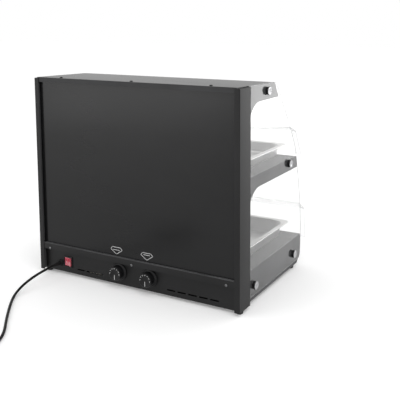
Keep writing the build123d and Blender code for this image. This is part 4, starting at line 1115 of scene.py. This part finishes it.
# Pans
class CASE_OT_pans(bpy.types.Operator):
    """Presses the four shallow stainless food pans"""

    bl_idname = "case.pans"
    bl_label = "Food pans"

    def execute(self, context):
        for deck in ("lower", "upper"):
            for hand in ("left", "right"):
                self.pan(f"{deck}_{hand}_pan")
        return {"FINISHED"}

    def pan(self, node):
        """Rolled rim, leaning walls and a floor with a faint raised field."""
        low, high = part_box(node)
        centre = (low + high) / 2
        half_x, half_y = (high.x - low.x) / 2, (high.y - low.y) / 2
        top, floor = high.z, low.z
        depth = top - floor
        sheet, rim, rim_fall, rim_corner = 0.0008, 0.012, 0.0026, 0.014
        well_corner, foot_corner, lean = 0.028, 0.022, radians(7)
        brow, foot, field_corner = 0.0022, 0.0085, 0.014

        def ring(inset, corner, height):
            return half_x - inset, half_y - inset, corner, height

        rings = [ring(0, rim_corner, top - rim_fall), ring(0, rim_corner, top - 0.0011)]
        rings += [
            ring(inset, rim_corner - inset, top - fall)
            for inset, fall in ((0.0003, 0.0003), (0.0011, 0))
        ]
        rings.append(ring(rim - brow, well_corner + brow, top))
        for step in range(1, 5):
            angle = (pi / 2 - lean) * step / 4
            inset = rim - brow + brow * sin(angle) + sheet
            rings.append(ring(inset, well_corner - sheet, top - brow * (1 - cos(angle))))
        wall_end = depth - sheet - foot * (1 - sin(lean))
        leaned = tan(lean) * wall_end
        inset = rim + sheet + leaned
        rings.append(ring(inset, well_corner - sheet - leaned, top - wall_end))
        for step in range(1, 7):
            angle = lean + (pi / 2 - lean) * step / 6
            rings.append(ring(
                inset + foot * (cos(lean) - cos(angle)), foot_corner - 0.0012 * step,
                floor + sheet + foot * (1 - sin(angle)),
            ))
        field = inset + foot * cos(lean)
        for inner, lift in ((0.008, 0.0), (0.0095, 0.0004), (0.011, 0.0005)):
            rings.append(ring(field + inner, field_corner - inner / 2, floor + sheet + lift))
        bm = bmesh.new()
        loops = lofted(bm, (centre.x, centre.y), rings, 10)
        bmesh.ops.edgeloop_fill(bm, edges=loops[-1])
        bmesh.ops.recalc_face_normals(bm, faces=bm.faces)
        bm.faces.ensure_lookup_table()
        bm.normal_update()
        if max(bm.faces, key=lambda face: face.calc_area()).normal.z < 0:
            bmesh.ops.reverse_faces(bm, faces=bm.faces)
        pan = to_object(bm, node + "_dressed", radians(50))
        wall = pan.modifiers.new("Sheet", "SOLIDIFY")
        wall.thickness = sheet
        wall.offset = -1
        dress(pan, "stainless", BODY_OF[node], (node,))


# Pictograms
class CASE_OT_pictograms(bpy.types.Operator):
    """Prints a plain sign of a deck over each knob"""

    bl_idname = "case.pictograms"
    bl_label = "Shelf pictograms"

    OUTLINE = (
        (-0.0125, 0.0085), (0.0125, 0.0085), (0.0175, 0.0025), (0, -0.0095), (-0.0175, 0.0025),
    )
    LEVELS = {"left": 0.0035, "right": 0.0015}
    HALF_LEVEL = 0.009
    STROKE = 0.0013
    STROKE_INK = 0.00006
    PLACE_Z = 0.098
    ASIDE = 0.005

    def execute(self, context):
        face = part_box("back_panel")[1].y + INK_LIFT
        for hand, level in self.LEVELS.items():
            bm = bmesh.new()
            for start, end in zip(self.OUTLINE, self.OUTLINE[1:] + self.OUTLINE[:1]):
                self.stroke(bm, start, end)
            self.stroke(bm, (-self.HALF_LEVEL, level), (self.HALF_LEVEL, level))
            knob = centre_of(f"{hand}_knob")
            place = Vector((knob.x + self.ASIDE, face, self.PLACE_Z))
            bm.transform(Matrix.Translation(place) @ READ_FROM_BEHIND)
            bmesh.ops.recalc_face_normals(bm, faces=bm.faces)
            picture = to_object(bm, f"{hand}_pictogram")
            dress(picture, "white_print", "case")
        return {"FINISHED"}

    def stroke(self, bm, start, end):
        """One printed line, as a thin flat bar a little longer than its two ends."""
        start, end = Vector((*start, 0)), Vector((*end, 0))
        along = (end - start).normalized() * self.STROKE / 2
        across = Vector((-along.y, along.x, 0))
        corners = (start - along - across, end + along - across, end + along + across,
                   start - along + across)
        thickened(bm, corners, UP * self.STROKE_INK)


# Inside
class CASE_OT_inside(bpy.types.Operator):
    """Gives the pieces inside the case their finishes"""

    bl_idname = "case.inside"
    bl_label = "Inside pieces"

    INSIDE = {
        "base_heater": "element_steel",
        "shelf_heater": "element_steel",
        "base_heater_clips": "zinc_steel",
        "shelf_heater_clips": "zinc_steel",
        "left_side_studs": "zinc_steel",
        "right_side_studs": "zinc_steel",
        "left_thermostat": "black_plastic",
        "right_thermostat": "black_plastic",
        "left_thermostat_shaft": "zinc_steel",
        "right_thermostat_shaft": "zinc_steel",
        "terminal_block": "white_moulding",
        "wire_harness": "wire_sleeve",
    }

    def execute(self, context):
        for node, name in self.INSIDE.items():
            solid = frame["nodes"][node]
            for place in solid.material_slots:
                place.material = finish(name)
        return {"FINISHED"}


# Stage
def seen_directly(nodes, links):
    """One for rays from the camera, and for those that mirrors and clear sheets pass on."""
    path = nodes.new("ShaderNodeLightPath").outputs
    seen = arithmetic(nodes, links, "ADD", path["Is Camera Ray"], path["Is Glossy Ray"])
    return arithmetic(nodes, links, "ADD", seen, path["Is Transmission Ray"])


class CASE_OT_stage(bpy.types.Operator):
    """Sets up the camera, the white surroundings, the floor and the lights"""

    bl_idname = "case.stage"
    bl_label = "Camera, floor and light"

    # Each lamp's side and place
    LAMPS = {
        "key": (1.6, (-1.3, 1.3, 2.4)),
        "fill": (1.3, (1.3, 2.08, 0.78)),
        "rim": (1.3, (-1.25, -2.05, 0.66)),
    }
    AIM = Vector((0, 0, 0.25))
    FLOOR_GLOW = 0.16

    def execute(self, context):
        settings = context.scene.case_stage
        self.camera(context, settings)
        self.surroundings(context, settings)
        self.floor(context, settings)
        for name, (size, place) in self.LAMPS.items():
            self.light(context, name, getattr(settings, name + "_power"), size, Vector(place))
        context.scene.view_settings.view_transform = "Standard"
        return {"FINISHED"}

    def camera(self, context, settings):
        """Camera with a shifted frame, as the photograph was cropped."""
        yaw, pitch, roll = settings.camera_yaw, settings.camera_pitch, settings.camera_roll
        forward = Vector((sin(yaw) * cos(pitch), cos(yaw) * cos(pitch), sin(pitch)))
        side = forward.cross(UP).normalized()
        top = side.cross(forward)
        leaned_side = cos(roll) * side + sin(roll) * top
        leaned_top = -sin(roll) * side + cos(roll) * top
        camera = bpy.data.objects.new("camera", bpy.data.cameras.new("camera"))
        camera.data.lens = settings.camera_lens
        camera.data.sensor_width = 36
        camera.data.shift_y = settings.camera_shift
        turn = Matrix((leaned_side, leaned_top, -forward)).transposed().to_4x4()
        camera.matrix_world = Matrix.Translation(settings.camera_place) @ turn
        context.scene.collection.objects.link(camera)
        context.scene.camera = camera

    def surroundings(self, context, settings):
        """White where it is seen, and a little dimmer where it only lights."""
        world = bpy.data.worlds.new("surroundings")
        world.use_nodes = True
        nodes, links = world.node_tree.nodes, world.node_tree.links
        lit = nodes["Background"]
        lit.inputs["Color"].default_value = (1, 1, 1, 1)
        lit.inputs["Strength"].default_value = settings.sky_light
        shown = nodes.new("ShaderNodeBackground")
        shown.inputs["Color"].default_value = (1, 1, 1, 1)
        shown.inputs["Strength"].default_value = 1.0
        mix = nodes.new("ShaderNodeMixShader")
        links.new(seen_directly(nodes, links), mix.inputs[0])
        links.new(lit.outputs[0], mix.inputs[1])
        links.new(shown.outputs[0], mix.inputs[2])
        links.new(mix.outputs[0], nodes["World Output"].inputs["Surface"])
        context.scene.world = world

    def floor(self, context, settings):
        """Pale floor that keeps the object's shadow and fades to white."""
        bm = bmesh.new()
        bmesh.ops.create_grid(bm, x_segments=1, y_segments=1, size=settings.floor_size / 2)
        ground = to_object(bm, "floor")
        material, nodes, links, shader = empty_material("pale_floor")
        speck = spotted(nodes, links, 3.0, 2.0)
        tinted(nodes, links, speck, shader, (0.9, 0.9, 0.9), (0.91, 0.91, 0.91))
        shader.inputs["Roughness"].default_value = 0.9
        shader.inputs["Specular IOR Level"].default_value = 0.0
        glow = nodes.new("ShaderNodeEmission")
        seen = seen_directly(nodes, links)
        share = arithmetic(nodes, links, "MULTIPLY", seen, self.FLOOR_GLOW)
        links.new(share, glow.inputs["Strength"])
        both = nodes.new("ShaderNodeAddShader")
        links.new(shader.outputs[0], both.inputs[0])
        links.new(glow.outputs[0], both.inputs[1])
        links.new(both.outputs[0], nodes["Material Output"].inputs["Surface"])
        ground.data.materials.append(material)

    def light(self, context, name, power, size, place):
        """Square lamp aimed at the middle of the case, seen only in mirrors."""
        lamp = bpy.data.lights.new(name, "AREA")
        lamp.energy = power
        lamp.size = size
        source = bpy.data.objects.new(name, lamp)
        source.visible_camera = False
        source.matrix_world = facing(place - self.AIM, place)
        context.scene.collection.objects.link(source)


# Panel
ORDER = (
    CASE_OT_stage, CASE_OT_lead, CASE_OT_sheet_metal, CASE_OT_clear_sheets, CASE_OT_hinges,
    CASE_OT_side_nuts, CASE_OT_screws, CASE_OT_feet, CASE_OT_knobs, CASE_OT_switch,
    CASE_OT_pans, CASE_OT_pictograms, CASE_OT_inside,
)


class CASE_PT_panel(bpy.types.Panel):
    """Lists the steps that dress the display case"""

    bl_idname = "CASE_PT_panel"
    bl_label = "Display case"
    bl_space_type = "VIEW_3D"
    bl_region_type = "UI"
    bl_category = "Display case"

    def draw(self, context):
        for step in ORDER:
            self.layout.operator(step.bl_idname)
        for group in (context.scene.case_lead, context.scene.case_finish, context.scene.case_stage):
            for name in group.bl_rna.properties.keys():
                if name not in ("rna_type", "name"):
                    self.layout.prop(group, name)


SETTINGS = {
    "case_lead": CaseLeadSettings,
    "case_finish": CaseFinishSettings,
    "case_stage": CaseStageSettings,
}


def register():
    """Adds the settings, the steps and the panel."""
    for group in SETTINGS.values():
        bpy.utils.register_class(group)
    for step in ORDER:
        bpy.utils.register_class(step)
    bpy.utils.register_class(CASE_PT_panel)
    for name, group in SETTINGS.items():
        setattr(bpy.types.Scene, name, bpy.props.PointerProperty(type=group))


def unregister():
    """Takes all of them out again."""
    for name in SETTINGS:
        delattr(bpy.types.Scene, name)
    bpy.utils.unregister_class(CASE_PT_panel)
    for step in reversed(ORDER):
        bpy.utils.unregister_class(step)
    for group in SETTINGS.values():
        bpy.utils.unregister_class(group)


def main():
    """Builds the scene step by step."""
    register()
    for step in ORDER:
        group, name = step.bl_idname.split(".")
        getattr(getattr(bpy.ops, group), name)()


if __name__ == "__main__":
    main()
